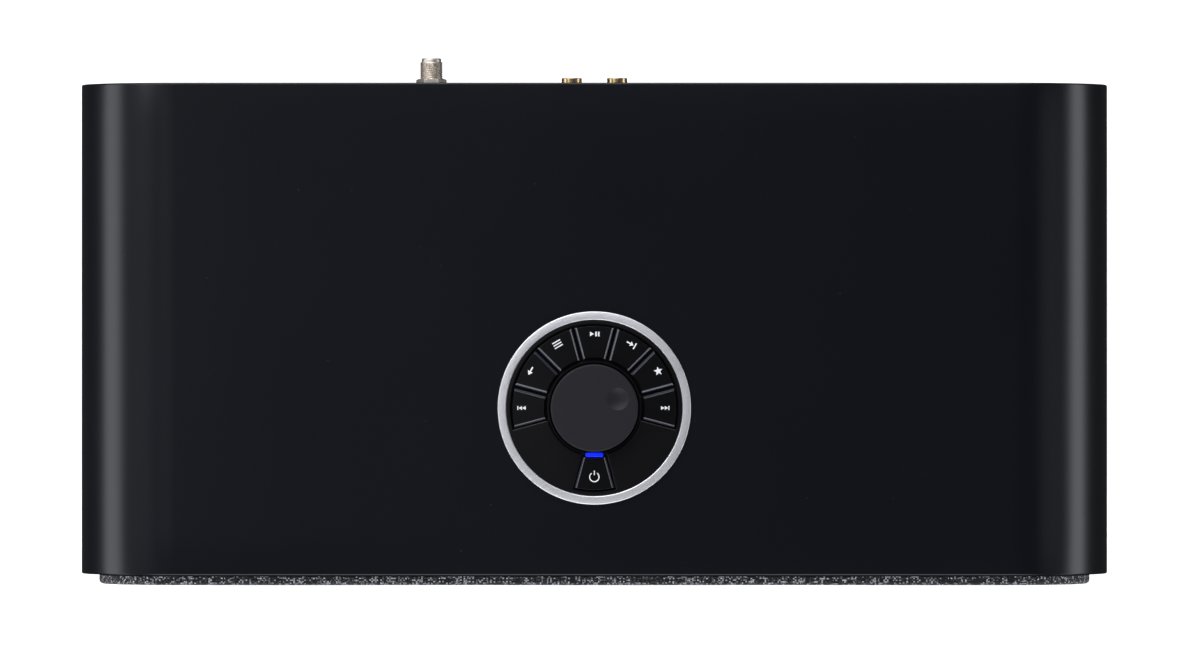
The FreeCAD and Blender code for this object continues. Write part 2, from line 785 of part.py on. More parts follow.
def turntable():
    base = "table_z"
    plate = turned("turntable_shape", [
        ("axle_radius + axle_clearance", "-2"), ("axle_radius + 2", "-2"), ("axle_radius + 2", 0),
        ("turntable_radius", 0), ("turntable_radius", "turntable_thickness"),
        ("hub_radius", "turntable_thickness"), ("hub_radius", "turntable_thickness + hub_height - 1"),
        ("hub_radius - 1", "turntable_thickness + hub_height"),
        ("axle_radius + axle_clearance", "turntable_thickness + hub_height"),
    ])
    return keep("turntable", place(plate, 0, "disc_y", base))


def spindle_motor():
    low = "drive_floor_z + drive_sheet"
    case = rod("motor_case", (0, "disc_y", low), "motor_radius", f"table_z - 2.4 - ({low})")
    spindle = rod("motor_spindle", (0, "disc_y", "table_z - 2.4"), "axle_radius",
                  "turntable_thickness + hub_height + 2")
    return keep("spindle_motor", join("motor", case, spindle))


def sled_rails():
    rails = [rod("sled_rail", (f"{side} * rail_spacing / 2", "rail_front - 3", "rail_z"), "rail_radius",
                 "rail_rear - rail_front + 6", TO_REAR) for side in SIDES.values()]
    return keep("sled_rails", group("rails", *rails))


def laser_sled():
    body = block("sled_body", 0, "rail_front + 1", "rail_z - sled_height / 2",
                 ("sled_width", "sled_length", "sled_height"))
    lens = rod("sled_lens", (0, "rail_front + 1 + sled_length / 2", "rail_z + sled_height / 2"), "3",
               "1")
    bores = [rod("sled_bore", (f"{side} * rail_spacing / 2", "rail_front - 3", "rail_z"),
                 "rail_radius + axle_clearance", "sled_length + 10", TO_REAR)
             for side in SIDES.values()]
    return keep("laser_sled", cut("sled", join("sled_solid", body, lens), *bores))


# Drivers: turned about their own axis, which then points to the front
def at_drivers(name, source, depth="driver_y"):
    spots = [(f"{side} * driver_offset", depth, "driver_height") for side in SIDES.values()]
    return copies(name, source, spots, TO_FRONT)


def driver_baskets():
    ledge = "basket_ledge_depth"
    low = "basket_depth"
    inner = "basket_ledge_radius"
    plate = "(former_radius + 2)"
    basket = turned("basket_shape", [
        ("surround_outer_radius + 0.2", 0), ("surround_outer_radius + 0.2", -2),
        ("surround_roll_outer + 0.3", -2), (f"{inner} + 5", f"-{ledge}"), (inner, f"-{ledge}"),
        (inner, f"-{low} + basket_skin"), (plate, f"-{low} + basket_skin"), (plate, f"-{low}"),
        (f"{inner} + basket_skin", f"-{low}"), (f"{inner} + basket_skin", f"-{ledge} - basket_skin"),
        (f"{inner} + 6.4", f"-{ledge} - basket_skin"),
        ("surround_roll_outer + 1.8", "-driver_flange_thickness"),
        ("driver_flange_radius", "-driver_flange_thickness"), ("driver_flange_radius", 0),
    ])
    pilot = rod("basket_hole", (0, 0, 0), "driver_screw_radius + 0.1", "driver_flange_thickness + 4")
    holes = copies("basket_hole_copy", pilot, driver_screw_spots("driver_y - 2"), TO_REAR)
    solids = [cut(link.Name + "_drilled", link, join(link.Name + "_holes", *holes))
              for link in at_drivers("basket", basket)]
    return keep("driver_baskets", group("baskets", *solids))


def driver_screw_spots(depth):
    reach = "driver_screw_circle * cos(45)"
    return [(f"{side} * driver_offset + {across} * {reach}", depth, f"driver_height + {up} * {reach}")
            for side in SIDES.values() for across in (-1, 1) for up in (-1, 1)]


def driver_screws():
    screw = turned("driver_screw_shape", [
        (0, "-driver_screw_head_height"), ("driver_screw_head_radius - 0.6", "-driver_screw_head_height"),
        ("driver_screw_head_radius", "-driver_screw_head_height + 0.6"), ("driver_screw_head_radius", 0),
        ("driver_screw_radius", 0), ("driver_screw_radius", "driver_screw_length - 1.5"),
        (0, "driver_screw_length"),
    ])
    screws = copies("driver_screw", screw, driver_screw_spots("driver_y"), TO_REAR)
    return keep("driver_screws", group("flange_screws", *screws))


def driver_magnets():
    top = "-basket_depth"
    gap_outer = "former_radius + winding_skin + coil_gap"
    pole = "former_radius - former_skin - coil_gap"
    low = f"{top} - plate_thickness - magnet_thickness"
    front_plate = turned("front_plate", [
        (gap_outer, top), ("magnet_radius", top), ("magnet_radius", f"{top} - plate_thickness"),
        (gap_outer, f"{top} - plate_thickness"),
    ])
    ring = turned("ring_magnet", [
        (f"{gap_outer} + 1.5", f"{top} - plate_thickness"),
        ("magnet_radius - 0.6", f"{top} - plate_thickness"), ("magnet_radius - 0.6", low),
        (f"{gap_outer} + 1.5", low),
    ])
    yoke = turned("yoke", [
        (0, f"{top} + 0.5"), (pole, f"{top} + 0.5"), (pole, low), ("magnet_radius", low),
        ("magnet_radius", f"{low} - plate_thickness + 1"),
        ("magnet_radius - 1", f"{low} - plate_thickness"), (0, f"{low} - plate_thickness"),
    ])
    solids = []
    for name, source in (("front_plate", front_plate), ("ring_magnet", ring), ("yoke", yoke)):
        solids += at_drivers(name + "_copy", source)
    return keep("driver_magnets", group("magnets", *solids))


def driver_surrounds():
    inner = "surround_roll_inner"
    outer = "surround_roll_outer"
    skin = "surround_skin"
    roll = f"(({outer} - {inner}) / 2 + 0.05)"
    surround = turned("surround_shape", [
        (f"{inner} - 2.2", -2), (inner, -2, f"-{roll}"), (outer, -2), ("surround_outer_radius", -2),
        ("surround_outer_radius", f"-2 + {skin}"),
        (f"{outer} + {skin}", f"-2 + {skin}", f"{roll} + {skin}"), (f"{inner} - {skin}", f"-2 + {skin}"),
        (f"{inner} - 2.2", f"-2 + {skin}"),
    ])
    return keep("driver_surrounds", group("surrounds", *at_drivers("surround", surround)))


def driver_spiders():
    low = "-basket_ledge_depth"
    inner = "former_radius + coil_gap"
    spider = turned("spider_shape", [
        (inner, low), (f"{inner} + 3", low), (f"{inner} + 5", f"{low} + 1.5"), (f"{inner} + 7", low),
        ("basket_ledge_radius + 4", low), ("basket_ledge_radius + 4", f"{low} + 0.5"),
        (f"{inner} + 7", f"{low} + 0.5"), (f"{inner} + 5", f"{low} + 2"),
        (f"{inner} + 3", f"{low} + 0.5"), (inner, f"{low} + 0.5"),
    ])
    return keep("driver_spiders", group("spiders", *at_drivers("spider", spider)))


def moving_cones():
    neck = "-cone_neck_depth"
    edge = "surround_roll_inner"
    rim = "-(driver_flange_thickness - 0.9)"
    cap_edge = "(former_radius + cap_margin)"
    slope = f"((cone_neck_depth + {rim}) / ({edge} - cone_lap - former_radius))"
    cone = turned("cone_shape", [
        ("former_radius + seat_gap / 2", f"{neck} - cone_skin"), ("former_radius + seat_gap / 2", neck),
        (f"{edge} - cone_lap", rim), (f"{edge} - seat_gap", rim),
        (f"{edge} - seat_gap", f"{rim} - cone_skin"),
        (f"{edge} - cone_lap + 2 * seat_gap", f"{rim} - cone_skin"),
    ])
    seat = f"{neck} + {slope} * ({cap_edge} - former_radius)"
    top = f"{neck} + cap_rise + cap_skin"
    cap = turned("dust_cap_shape", [
        (0, f"{neck} + cap_rise"), (f"{cap_edge} - cap_skin", f"{seat} + seat_gap / 2"),
        (cap_edge, f"{seat} + seat_gap"), (cap_edge, f"{seat} + cap_skin", "former_radius * 1.9"),
        ("former_radius / 13", top), (0, top),
    ])
    wound = "-basket_depth"
    coil = turned("voice_coil_shape", [
        ("former_radius - former_skin", f"{wound} - winding_height + 1.5"),
        ("former_radius", f"{wound} - winding_height + 1.5"),
        ("former_radius + winding_skin", f"{wound} - winding_height + 2"),
        ("former_radius + winding_skin", f"{wound} + 2"),
        ("former_radius", f"{wound} + 2"), ("former_radius", f"{neck} + 1"),
        ("former_radius - former_skin", f"{neck} + 1"),
    ])
    for source, node in ((cone, "cone"), (cap, "dust_cap"), (coil, "voice_coil")):
        for name, link in zip(SIDES, at_drivers(node + "_copy", source)):
            keep(f"{name}_{node}", link)


# Rear: ports and sockets
def reflex_ports():
    outer = "port_radius + port_skin"
    tube = turned("port_shape", [
        ("port_radius", 1.5, "-port_flare"), ("port_radius + 1.4", "0"),
        ("port_radius + port_skin + 5", 0), ("port_radius + port_skin + 5", -1.2),
        (outer, -1.2), (outer, "-port_length"), ("port_radius", "-port_length"),
    ])
    spots = [(f"{side} * port_offset", "panel_back_y + 1.2", "port_height") for side in SIDES.values()]
    return keep("reflex_ports", group("ports", *copies("port", tube, spots, TO_REAR)))


def phono_spots(depth):
    return [(f"{side} * phono_spacing / 2", depth, level) for side in SIDES.values()
            for level in ("phono_height", "phono_height - phono_row_gap")]


def socket_plate():
    plate = block("plate_sheet", 0, "panel_back_y", "socket_plate_base",
                  ("socket_plate_width", "socket_plate_thickness", "socket_plate_height"))
    through = "socket_plate_thickness + 10"
    back = "panel_back_y - 5"
    holes = [rod("antenna_hole", ("-antenna_offset", back, "antenna_height"), "antenna_radius + 0.1",
                 through, TO_REAR)]
    hole = rod("phono_plate_hole", (0, 0, 0), "phono_radius + 0.1", through)
    holes += copies("phono_plate_hole_copy", hole, phono_spots(back), TO_REAR)
    for side in SIDES.values():
        holes.append(block("digital_plate_hole", f"digital_offset + {side} * digital_spacing / 2", back,
                           "digital_height - digital_size / 2 + 2",
                           ("digital_size - 4", through, "digital_size - 4")))
    holes.append(block("inlet_plate_hole", "inlet_offset", back, "inlet_height - inlet_tall / 2",
                       ("inlet_width", through, "inlet_tall")))
    return keep("socket_plate", cut("plate", plate, *holes))


def antenna_socket():
    seat = "panel_back_y"
    thread = rod("antenna_thread", ("-antenna_offset", "rear_y + nut_face_reach", "antenna_height"),
                 "antenna_radius", "antenna_reach - antenna_tip_length - nut_face_reach", TO_REAR)
    neck = rod("antenna_neck", ("-antenna_offset", seat, "antenna_height"), "antenna_root",
               f"rear_y + nut_face_reach - ({seat})", TO_REAR)
    tip = rod("antenna_tip", ("-antenna_offset", seat, "antenna_height"), "antenna_tip_radius",
              f"rear_y + antenna_reach - ({seat})", TO_REAR)
    can = block("tuner_can", "-antenna_offset", "main_board_y + board_thickness",
                "antenna_height - tuner_block / 2",
                ("tuner_block", f"{seat} - main_board_y - board_thickness", "tuner_block"))
    bore = rod("antenna_bore_hole", ("-antenna_offset", "rear_y + antenna_reach - 9", "antenna_height"),
               "antenna_bore", "20", TO_REAR)
    return keep("antenna_socket", cut("antenna", join("antenna_solid", thread, neck, tip, can), bore))


def antenna_nut():
    nut_front = "rear_y + nut_face_reach - nut_thickness"
    half = "nut_across_flats / 2"
    outline = [(f"{half} / cos(30) * cos({60 * step})", f"{half} / cos(30) * sin({60 * step})")
               for step in range(6)]
    nut = upright("nut_shape", outline, nut_front, "nut_thickness", "antenna_height", "-antenna_offset")
    washer = rod("washer", ("-antenna_offset", "plate_back_y", "antenna_height"), "washer_radius",
                 f"{nut_front} - plate_back_y", TO_REAR)
    bore = rod("nut_bore", ("-antenna_offset", "panel_back_y", "antenna_height"), "antenna_root + 0.05",
               "30", TO_REAR)
    return keep("antenna_nut", group("nuts", cut("nut", nut, bore), cut("washer_ring", washer, bore)))


def line_sockets():
    case = block("phono_block", 0, "main_board_y + board_thickness", "phono_base",
                 ("phono_wide", "panel_back_y - main_board_y - board_thickness", "phono_tall"))
    length = "(rear_y + phono_reach - panel_back_y)"
    sleeve = rod("phono_sleeve", (0, 0, "socket_plate_thickness"), "phono_radius",
                 f"{length} - socket_plate_thickness")
    neck = rod("phono_neck", (0, 0, 0), "phono_radius - phono_shoulder", "socket_plate_thickness")
    hollow = rod("phono_hollow", (0, 0, "phono_root"), "phono_radius - phono_skin", length)
    core = rod("phono_core", (0, 0, 0), "phono_radius - phono_skin - phono_core_gap",
               f"{length} - phono_core_gap")
    hole = rod("phono_core_hole", (0, 0, "phono_root / 2"), "phono_pin_radius", length)
    tube = cut("phono_tube", join("phono_outside", sleeve, neck), hollow)
    socket = join("phono_socket", tube, cut("phono_inner", core, hole))
    return keep("line_sockets", group("phono", case, *copies("phono_copy", socket,
                                                             phono_spots("panel_back_y"), TO_REAR)))


def mains_inlet():
    case = block("inlet_case", "inlet_offset", "main_board_y + board_thickness",
                 "inlet_height - inlet_tall / 2",
                 ("inlet_width", "plate_back_y - main_board_y - board_thickness", "inlet_tall"))
    flange = upright("inlet_flange", rounded("inlet_width + 4", "inlet_tall + 4", 3), "plate_back_y", 1.6,
                     "inlet_height", "inlet_offset")
    cavity = upright("inlet_cavity", rounded("inlet_cavity_width", "inlet_cavity_tall",
                                             "inlet_cavity_tall / 2 - 0.1"),
                     "plate_back_y + 1.6 - inlet_cavity_depth", 20, "inlet_height", "inlet_offset")
    pins = [rod("inlet_pin", (f"inlet_offset + {side} * inlet_pin_spacing / 2",
                              "plate_back_y - inlet_cavity_depth", "inlet_height"),
                "inlet_pin_radius", "inlet_cavity_depth - 1", TO_REAR) for side in SIDES.values()]
    shell = cut("inlet_shell", join("inlet_solid", case, flange), cavity)
    return keep("mains_inlet", join("inlet", shell, *pins))


def digital_sockets():
    solids = []
    for name, side in SIDES.items():
        centre = f"digital_offset + {side} * digital_spacing / 2"
        case = block(f"{name}_digital_case", centre, "main_board_y + board_thickness",
                     "digital_height - digital_size / 2",
                     ("digital_size", "panel_back_y - main_board_y - board_thickness", "digital_size"))
        nose = block(f"{name}_digital_nose", centre, "panel_back_y - 1",
                     "digital_height - digital_size / 2 + 2.1",
                     ("digital_size - 4.2", "socket_plate_thickness + 1.6", "digital_size - 4.2"))
        wide, tall = ("6", "6") if side < 0 else ("7.6", "3.4")
        mouth = block(f"{name}_digital_mouth", centre, "panel_back_y - 3",
                      f"digital_height - {tall} / 2", (wide, "10", tall))
        solids.append(cut(f"{name}_digital", join(f"{name}_digital_solid", case, nose), mouth))
    return keep("digital_sockets", group("digital", *solids))


# Boards
def main_board():
    base = "main_board_base"
    board = block("main_sheet", 0, "main_board_y", base,
                  ("main_board_width", "board_thickness", "main_board_height"))
    solids = [board]
    chips = ((-0.25, 0.5, 1), (0.1, 0.55, 0.7), (0.32, 0.3, 0.5))
    for number, (across, up, share) in enumerate(chips, 1):
        size = f"(chip_size * {share})"
        thick = f"(chip_thickness * {share})"
        solids.append(block(f"chip_{number}", f"({across}) * main_board_width", f"main_board_y - {thick}",
                            f"{base} + {up} * main_board_height - {size} / 2", (size, thick, size)))
    return keep("main_board", group("main", *solids))


def power_board():
    front = "(baffle_back_y + board_inset)"
    rear = f"({front} + power_board_depth)"
    top = "board_top_z"
    corner = "2 * standoff_radius"
    solids = [block("power_sheet", 0, front, "power_board_z",
                    ("power_board_width", "power_board_depth", "board_thickness"))]
    for side in SIDES.values():
        for depth in (f"{front} + {corner}", f"{rear} - {corner}"):
            solids.append(rod("standoff", (f"{side} * (power_board_width / 2 - {corner})", depth,
                                           "floor_z"), "standoff_radius", "standoff_height"))
    solids.append(block("transformer", "power_board_width / 5", f"{front} + power_board_depth / 2", top,
                        ("transformer_width", "transformer_depth", "part_room")))
    for number in range(3):
        centre = f"-power_board_width / 2 + capacitor_inset + capacitor_pitch * {number}"
        solids.append(rod("capacitor", (centre, f"{rear} - capacitor_pitch", top), "capacitor_radius",
                          "part_room - capacitor_drop"))
    middle = "-power_board_width / 6"
    depth = f"{front} + power_board_depth / 3"
    sink = block("sink_plate", middle, depth, top, ("sink_width", "sink_depth", "sink_base"))
    fins = [block("sink_fin", f"{middle} + fin_pitch * ({number} - 3.5)", depth, top,
                  ("fin_thickness", "sink_depth", "part_room - sink_drop")) for number in range(8)]
    solids.append(join("heatsink", sink, *fins))
    return keep("power_board", group("power", *solids))


def speaker_wires():
    wires = []
    for name, side in SIDES.items():
        depth = value("wire_y")
        level = value("wire_z")
        bend = value("wire_bend / 2")
        start = Vector(side * value("driver_offset"), depth,
                       value("driver_height - basket_ledge_radius - wire_drop"))
        end = Vector(side * value("power_board_width / 2 - wire_end_inset"), depth,
                     value("power_board_z + board_thickness"))
        corners = [Vector(start.x, depth, level), Vector(end.x, depth, level)]
        route = Part.Wire(bent_route([start, *corners, end], bend))
        circle = Part.Wire(Part.makeCircle(value("wire_radius"), start, Vector(0, 0, -1)))
        wire = doc.addObject("Part::Feature", f"{name}_speaker_wire")
        wire.Shape = route.makePipeShell([circle], True, True)
        wires.append(wire)
    return keep("speaker_wires", group("wires", *wires))


def bent_route(points, bend):
    """Straight runs joined by tangent arcs of one radius at square corners."""
    edges = []
    at = points[0]
    for before, corner, after in zip(points, points[1:], points[2:]):
        come = (corner - before).normalize()
        leave = (after - corner).normalize()
        first = corner - come * bend
        last = corner + leave * bend
        middle = corner - (come - leave) * bend * (1 - math.cos(math.pi / 4)) \
            * (1 / math.sqrt(2)) / math.cos(math.pi / 4)
        edges.append(Part.LineSegment(at, first).toShape())
        edges.append(Part.Arc(first, middle, last).toShape())
        at = last
    edges.append(Part.LineSegment(at, points[-1]).toShape())
    return edges


# Control dial: heights are counted from the cabinet's top face
PITCH = SIZES["key_pitch_angle"]
KEYS = {node: step * PITCH for step, node in enumerate((
    "skip_forward_key", "preset_key", "source_key", "play_key", "menu_key", "back_key", "skip_back_key"))}
KEYS["power_key"] = 270


def at_dial(piece, turn=None):
    return place(piece, 0, "dial_y", "top_z", turn)


def about_z(degrees):
    return Rotation(Vector(0, 0, 1), degrees)


def trim_ring():
    soft = "ring_rounding"
    ring = turned("ring_shape", [
        ("ring_inner_radius", "ring_lip"), ("ring_outer_radius - ring_lip + dial_fit", "ring_lip"),
        ("ring_outer_radius - ring_lip + dial_fit", 0), ("ring_outer_radius", 0),
        ("ring_outer_radius", f"ring_height - {soft}", soft), (f"ring_outer_radius - {soft}", "ring_height"),
        (f"ring_inner_radius + {soft}", "ring_height", soft), ("ring_inner_radius", f"ring_height - {soft}"),
    ])
    return keep("trim_ring", at_dial(ring))


def dial_housing():
    deck = "-deck_depth"
    step = "trough_outer - barrel_step"
    shell = turned("housing_shape", [
        ("inner_wall_radius - inner_wall_skin", f"{deck} - deck_thickness"),
        (step, f"{deck} - deck_thickness"), (step, "-board_depth"),
        ("trough_outer", "-board_depth"), ("trough_outer", "-barrel_depth"),
        ("barrel_radius", "-barrel_depth"), ("barrel_radius", 0),
        ("ring_outer_radius - ring_lip", 0), ("ring_outer_radius - ring_lip", "ring_lip"),
        ("barrel_radius", "ring_lip"), ("barrel_radius", "face_outer_rise + light_fit / 2"),
        ("inner_wall_radius", "face_inner_rise"), ("inner_wall_radius", "inner_wall_rise"),
        ("inner_wall_radius - inner_wall_skin", "inner_wall_rise"),
    ])
    floor = rod("encoder_floor", (0, 0, f"{deck} - deck_thickness"), "inner_wall_radius", "deck_thickness")
    cuts = [trough("key_trough", 7 * PITCH, -PITCH / 2), trough("power_trough", PITCH, 270 - PITCH / 2)]
    cuts.append(rod("encoder_hole", (0, 0, "-barrel_depth"), "encoder_hole_radius", "barrel_depth"))
    cuts.append(block("light_slot", 0, "-light_radius_at - light_width / 2 - light_fit", deck,
                      ("light_length + 2 * light_fit", "light_width + 2 * light_fit",
                       "deck_depth + ring_height")))
    stem = block("stem_hole", 0, "key_stem_radius_at - key_stem_width / 2 - stem_gap",
                 f"{deck} - deck_thickness - 1",
                 ("key_stem_length + 2 * stem_gap", "key_stem_width + 2 * stem_gap", "deck_thickness + 2"))
    for node, angle in KEYS.items():
        link = doc.addObject("App::Link", node + "_stem_hole")
        link.LinkedObject = stem
        cuts.append(turned_about_dial(link, angle))
    return keep("dial_housing", at_dial(cut("housing", join("housing_solid", shell, floor), *cuts)))


def turned_about_dial(link, angle):
    """Turn a link of a stem's block from +Y to its key's own angle."""
    turn = about_z(angle - 90)
    low = "(key_stem_radius_at - key_stem_width / 2 - stem_gap)"
    half = "(key_stem_length / 2 + stem_gap)"
    place(link, f"{low} * cos({angle}) - {half} * sin({angle})",
          f"{low} * sin({angle}) + {half} * cos({angle})", "-deck_depth - deck_thickness - 1", turn)
    return link


def trough(name, sweep, first):
    """A round channel over part of the face, down to the deck."""
    outer = rod(name + "_outer", (0, 0, "-deck_depth"), "trough_outer", 20, about_z(first), sweep)
    inner = rod(name + "_inner", (0, 0, "-deck_depth - 1"), "inner_wall_radius", 22)
    return cut(name, outer, inner)


def key(node, angle):
    """One key cap: part of a ring with a sloping face, bevelled all round, on a guided stem."""
    low = "-key_base_depth"
    bevel = "key_bevel"
    inner_face = "face_inner_rise - 0.1"
    outer_face = "face_outer_rise + 0.05"
    cap = turned(node + "_ring", [
        ("key_inner_radius", low), ("key_outer_radius", low),
        ("key_outer_radius", f"{outer_face} - {bevel}"), (f"key_outer_radius - {bevel}", outer_face),
        (f"key_inner_radius + {bevel}", inner_face), ("key_inner_radius", f"{inner_face} - {bevel}"),
    ], 60)
    shoulder = f"({outer_face} - {bevel})"
    past = f"({shoulder} + 5 * {bevel})"
    below = "-key_base_depth - 1"
    profile = [("0", below), ("key_side_gap", below), ("key_side_gap", shoulder),
               (f"(key_side_gap + 5 * {bevel})", past), ("0", past)]
    waste_sweep = 60
    sides = []
    for name, hand in (("right", -1), ("left", 1)):
        outline = [(f"{hand} * {x}", level) for x, level in profile]
        edge = pad(f"{node}_side_{name}", "XZ_Plane", outline[::hand], "key_outer_radius + 10")
        sides.append(place(edge, turn=about_z(90 - hand * PITCH / 2)))
        start = -hand * PITCH / 2 - (waste_sweep if hand > 0 else 0)
        sides.append(rod(f"{node}_waste_{name}", (0, 0, below), "key_outer_radius + 5",
                         "key_base_depth + 12", about_z(start), waste_sweep))
    trimmed = cut(node + "_cap", cap, *sides)
    stem_low = "-mat_depth + stem_gap"
    reach = "key_stem_radius_at - key_stem_width / 2"
    stem = box(node + "_stem", (reach, "-key_stem_length / 2", stem_low),
               ("key_stem_width", "key_stem_length", f"-key_base_depth - ({stem_low})"))
    collar = box(node + "_collar", (f"{reach} - key_collar", "-key_stem_length / 2 - key_collar", stem_low),
                 ("key_stem_width + 2 * key_collar", "key_stem_length + 2 * key_collar",
                  f"-deck_depth - deck_thickness - stem_gap - ({stem_low})"))
    return keep(node, at_dial(join(node + "_solid", trimmed, stem, collar), about_z(angle)))


def keypad_mat():
    outer = "trough_outer - barrel_step"
    mat = turned("mat_shape", [
        ("encoder_hole_radius + 3", "-board_depth"), (f"{outer} - stem_gap", "-board_depth"),
        (f"{outer} - stem_gap", "-deck_depth - deck_thickness"),
        (f"{outer} - 1.1", "-deck_depth - deck_thickness"), (f"{outer} - 1.1", "-mat_depth"),
        ("encoder_hole_radius + 3", "-mat_depth"),
    ])
    return keep("keypad_mat", at_dial(mat))


def dial_board():
    board = rod("dial_board_disc", (0, 0, 0), "trough_outer - 0.3", "board_thickness")
    return keep("dial_board", place(board, 0, "dial_y", "top_z - board_depth - board_thickness"))


def dial_ring_nut():
    ring = turned("ring_nut_shape", [
        ("barrel_radius + 0.05", "-cabinet_wall - ring_nut_thickness"),
        ("ring_nut_radius", "-cabinet_wall - ring_nut_thickness"), ("ring_nut_radius", "-cabinet_wall"),
        ("barrel_radius + 0.05", "-cabinet_wall"),
    ])
    return keep("dial_ring_nut", at_dial(ring))


def power_light():
    bar = block("light_bar", 0, "dial_y - light_radius_at - light_width / 2", "top_z - deck_depth",
                ("light_length", "light_width", "deck_depth + light_rise"))
    return keep("power_light", bar)


def encoder_body():
    low = "-board_depth"
    case = block("encoder_case", 0, "-encoder_size / 2", low,
                 ("encoder_size", "encoder_size", "encoder_height"))
    bushing = rod("encoder_bushing", (0, 0, f"{low} + encoder_height"), "bushing_radius", "bushing_height")
    bore = rod("encoder_bore", (0, 0, low), "shaft_radius + shaft_clearance", 20)
    cavity = rod("encoder_cavity", (0, 0, f"{low} + 0.4"), "plunger_radius + 0.3", "encoder_height - 1.2")
    floor = rod("encoder_base", (0, 0, low), "plunger_radius + 1", 0.4)
    return keep("encoder_body", at_dial(join("encoder_closed", cut("encoder", join("encoder_solid", case,
                                                                                   bushing), bore, cavity),
                                             floor)))


def encoder_plunger():
    low = "-board_depth + 1"
    plunger = turned("plunger_shape", [
        (0, low), ("plunger_radius", low), ("plunger_radius", f"{low} + plunger_height"),
        ("shaft_pin_radius + shaft_clearance", f"{low} + plunger_height"),
        ("shaft_pin_radius + shaft_clearance", f"{low} + 0.8"), (0, f"{low} + 0.8"),
    ])
    return keep("encoder_plunger", at_dial(plunger))


def encoder_shaft():
    low = "-board_depth + 1"
    seat = f"{low} + plunger_height + 0.1"
    top = "knob_rise - knob_skin"
    shaft = turned("shaft_shape", [
        (0, f"{low} + 0.9"), ("shaft_pin_radius", f"{low} + 0.9"), ("shaft_pin_radius", seat),
        ("plunger_radius - 0.2", seat), ("plunger_radius - 0.2", f"{seat} + 0.6"),
        ("shaft_radius", f"{seat} + 0.6"), ("shaft_radius", top), (0, top),
    ])
    return keep("encoder_shaft", at_dial(shaft))


def dial_knob():
    soft = "knob_rounding"
    hub_low = "-board_depth + encoder_height + bushing_height + key_travel_room"
    cap = turned("knob_shape", [
        ("shaft_radius", hub_low), ("knob_hub_radius", hub_low),
        ("knob_hub_radius", "knob_rise - knob_skin"),
        ("knob_radius - knob_skin", "knob_rise - knob_skin"),
        ("knob_radius - knob_skin", "-knob_skirt_depth"), ("knob_radius", "-knob_skirt_depth"),
        ("knob_radius", f"knob_rise - {soft}", soft), (f"knob_radius - {soft}", "knob_rise"),
        (0, "knob_rise"), (0, "knob_rise - knob_skin"), ("shaft_radius", "knob_rise - knob_skin"),
    ])
    ball_radius = "(dimple_radius ^ 2 + dimple_depth ^ 2) / (2 * dimple_depth)"
    ball = doc.addObject("Part::Sphere", "dimple_ball")
    ball.setExpression("Radius", bind(ball_radius))
    place(ball, "dimple_offset * cos(dimple_angle)", "dimple_offset * sin(dimple_angle)",
          f"knob_rise + {ball_radius} - dimple_depth")
    return keep("dial_knob", at_dial(cut("knob", cap, ball)))


def build():
    for make in (cabinet_sleeve, rubber_feet, foot_screws, chamber_walls, rear_battens, rear_panel,
                 rear_panel_screws, front_baffle, grille_frame, grille_fabric, front_fascia,
                 display_lens, display_module, slot_felt, drive_base, drive_cover, feed_roller,
                 turntable, spindle_motor, sled_rails, laser_sled, driver_baskets, driver_screws,
                 driver_magnets, driver_surrounds, driver_spiders, moving_cones, reflex_ports,
                 socket_plate, antenna_socket, antenna_nut, line_sockets, mains_inlet,
                 digital_sockets, main_board, power_board, speaker_wires, trim_ring, dial_housing,
                 keypad_mat, dial_board, dial_ring_nut, power_light, encoder_body, encoder_plunger,
                 encoder_shaft, dial_knob):
        make()
    for node, angle in KEYS.items():
        key(node, angle)
    doc.recompute()


def check():
    """Stop if any object failed, or a sub-part has no sound shape."""
    for item in doc.Objects:
        if "Invalid" in item.State or "Error" in item.State:
            raise RuntimeError(f"{item.Name} failed: {item.State}")
    for piece in NODES:
        shape = Part.getShape(piece)
        if shape.isNull() or not shape.isValid() or not shape.Solids:
            raise RuntimeError(f"{piece.Label} has no sound shape")


build()
check()
os.makedirs("parts", exist_ok=True)
for piece in NODES:
    Part.getShape(piece).exportStep(f"parts/{piece.Label}.step")
print(len(NODES), "sub-parts written")
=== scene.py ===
import json
import math
import bmesh
import bpy
import numpy as np
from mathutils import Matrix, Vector

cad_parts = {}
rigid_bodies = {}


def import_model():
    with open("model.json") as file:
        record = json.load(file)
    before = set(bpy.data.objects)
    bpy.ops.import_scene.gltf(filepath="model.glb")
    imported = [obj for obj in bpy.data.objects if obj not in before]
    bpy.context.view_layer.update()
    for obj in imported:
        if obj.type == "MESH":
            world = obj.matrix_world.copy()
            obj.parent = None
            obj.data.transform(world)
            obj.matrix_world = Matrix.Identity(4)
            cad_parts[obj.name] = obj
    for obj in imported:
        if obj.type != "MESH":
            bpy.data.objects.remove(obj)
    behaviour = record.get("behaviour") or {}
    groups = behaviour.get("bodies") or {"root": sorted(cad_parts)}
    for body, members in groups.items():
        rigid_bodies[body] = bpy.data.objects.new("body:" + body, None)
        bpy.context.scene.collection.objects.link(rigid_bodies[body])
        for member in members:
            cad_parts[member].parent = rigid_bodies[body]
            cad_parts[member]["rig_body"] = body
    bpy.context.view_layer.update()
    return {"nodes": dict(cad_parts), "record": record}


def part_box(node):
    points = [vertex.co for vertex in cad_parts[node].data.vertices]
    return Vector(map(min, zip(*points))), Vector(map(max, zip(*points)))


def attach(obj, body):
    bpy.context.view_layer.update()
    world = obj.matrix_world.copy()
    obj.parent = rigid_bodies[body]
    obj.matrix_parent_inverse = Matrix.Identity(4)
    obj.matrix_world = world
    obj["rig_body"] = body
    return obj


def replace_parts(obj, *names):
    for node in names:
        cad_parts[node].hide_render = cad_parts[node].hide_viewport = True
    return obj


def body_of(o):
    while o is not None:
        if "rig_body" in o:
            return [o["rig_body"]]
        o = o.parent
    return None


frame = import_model()

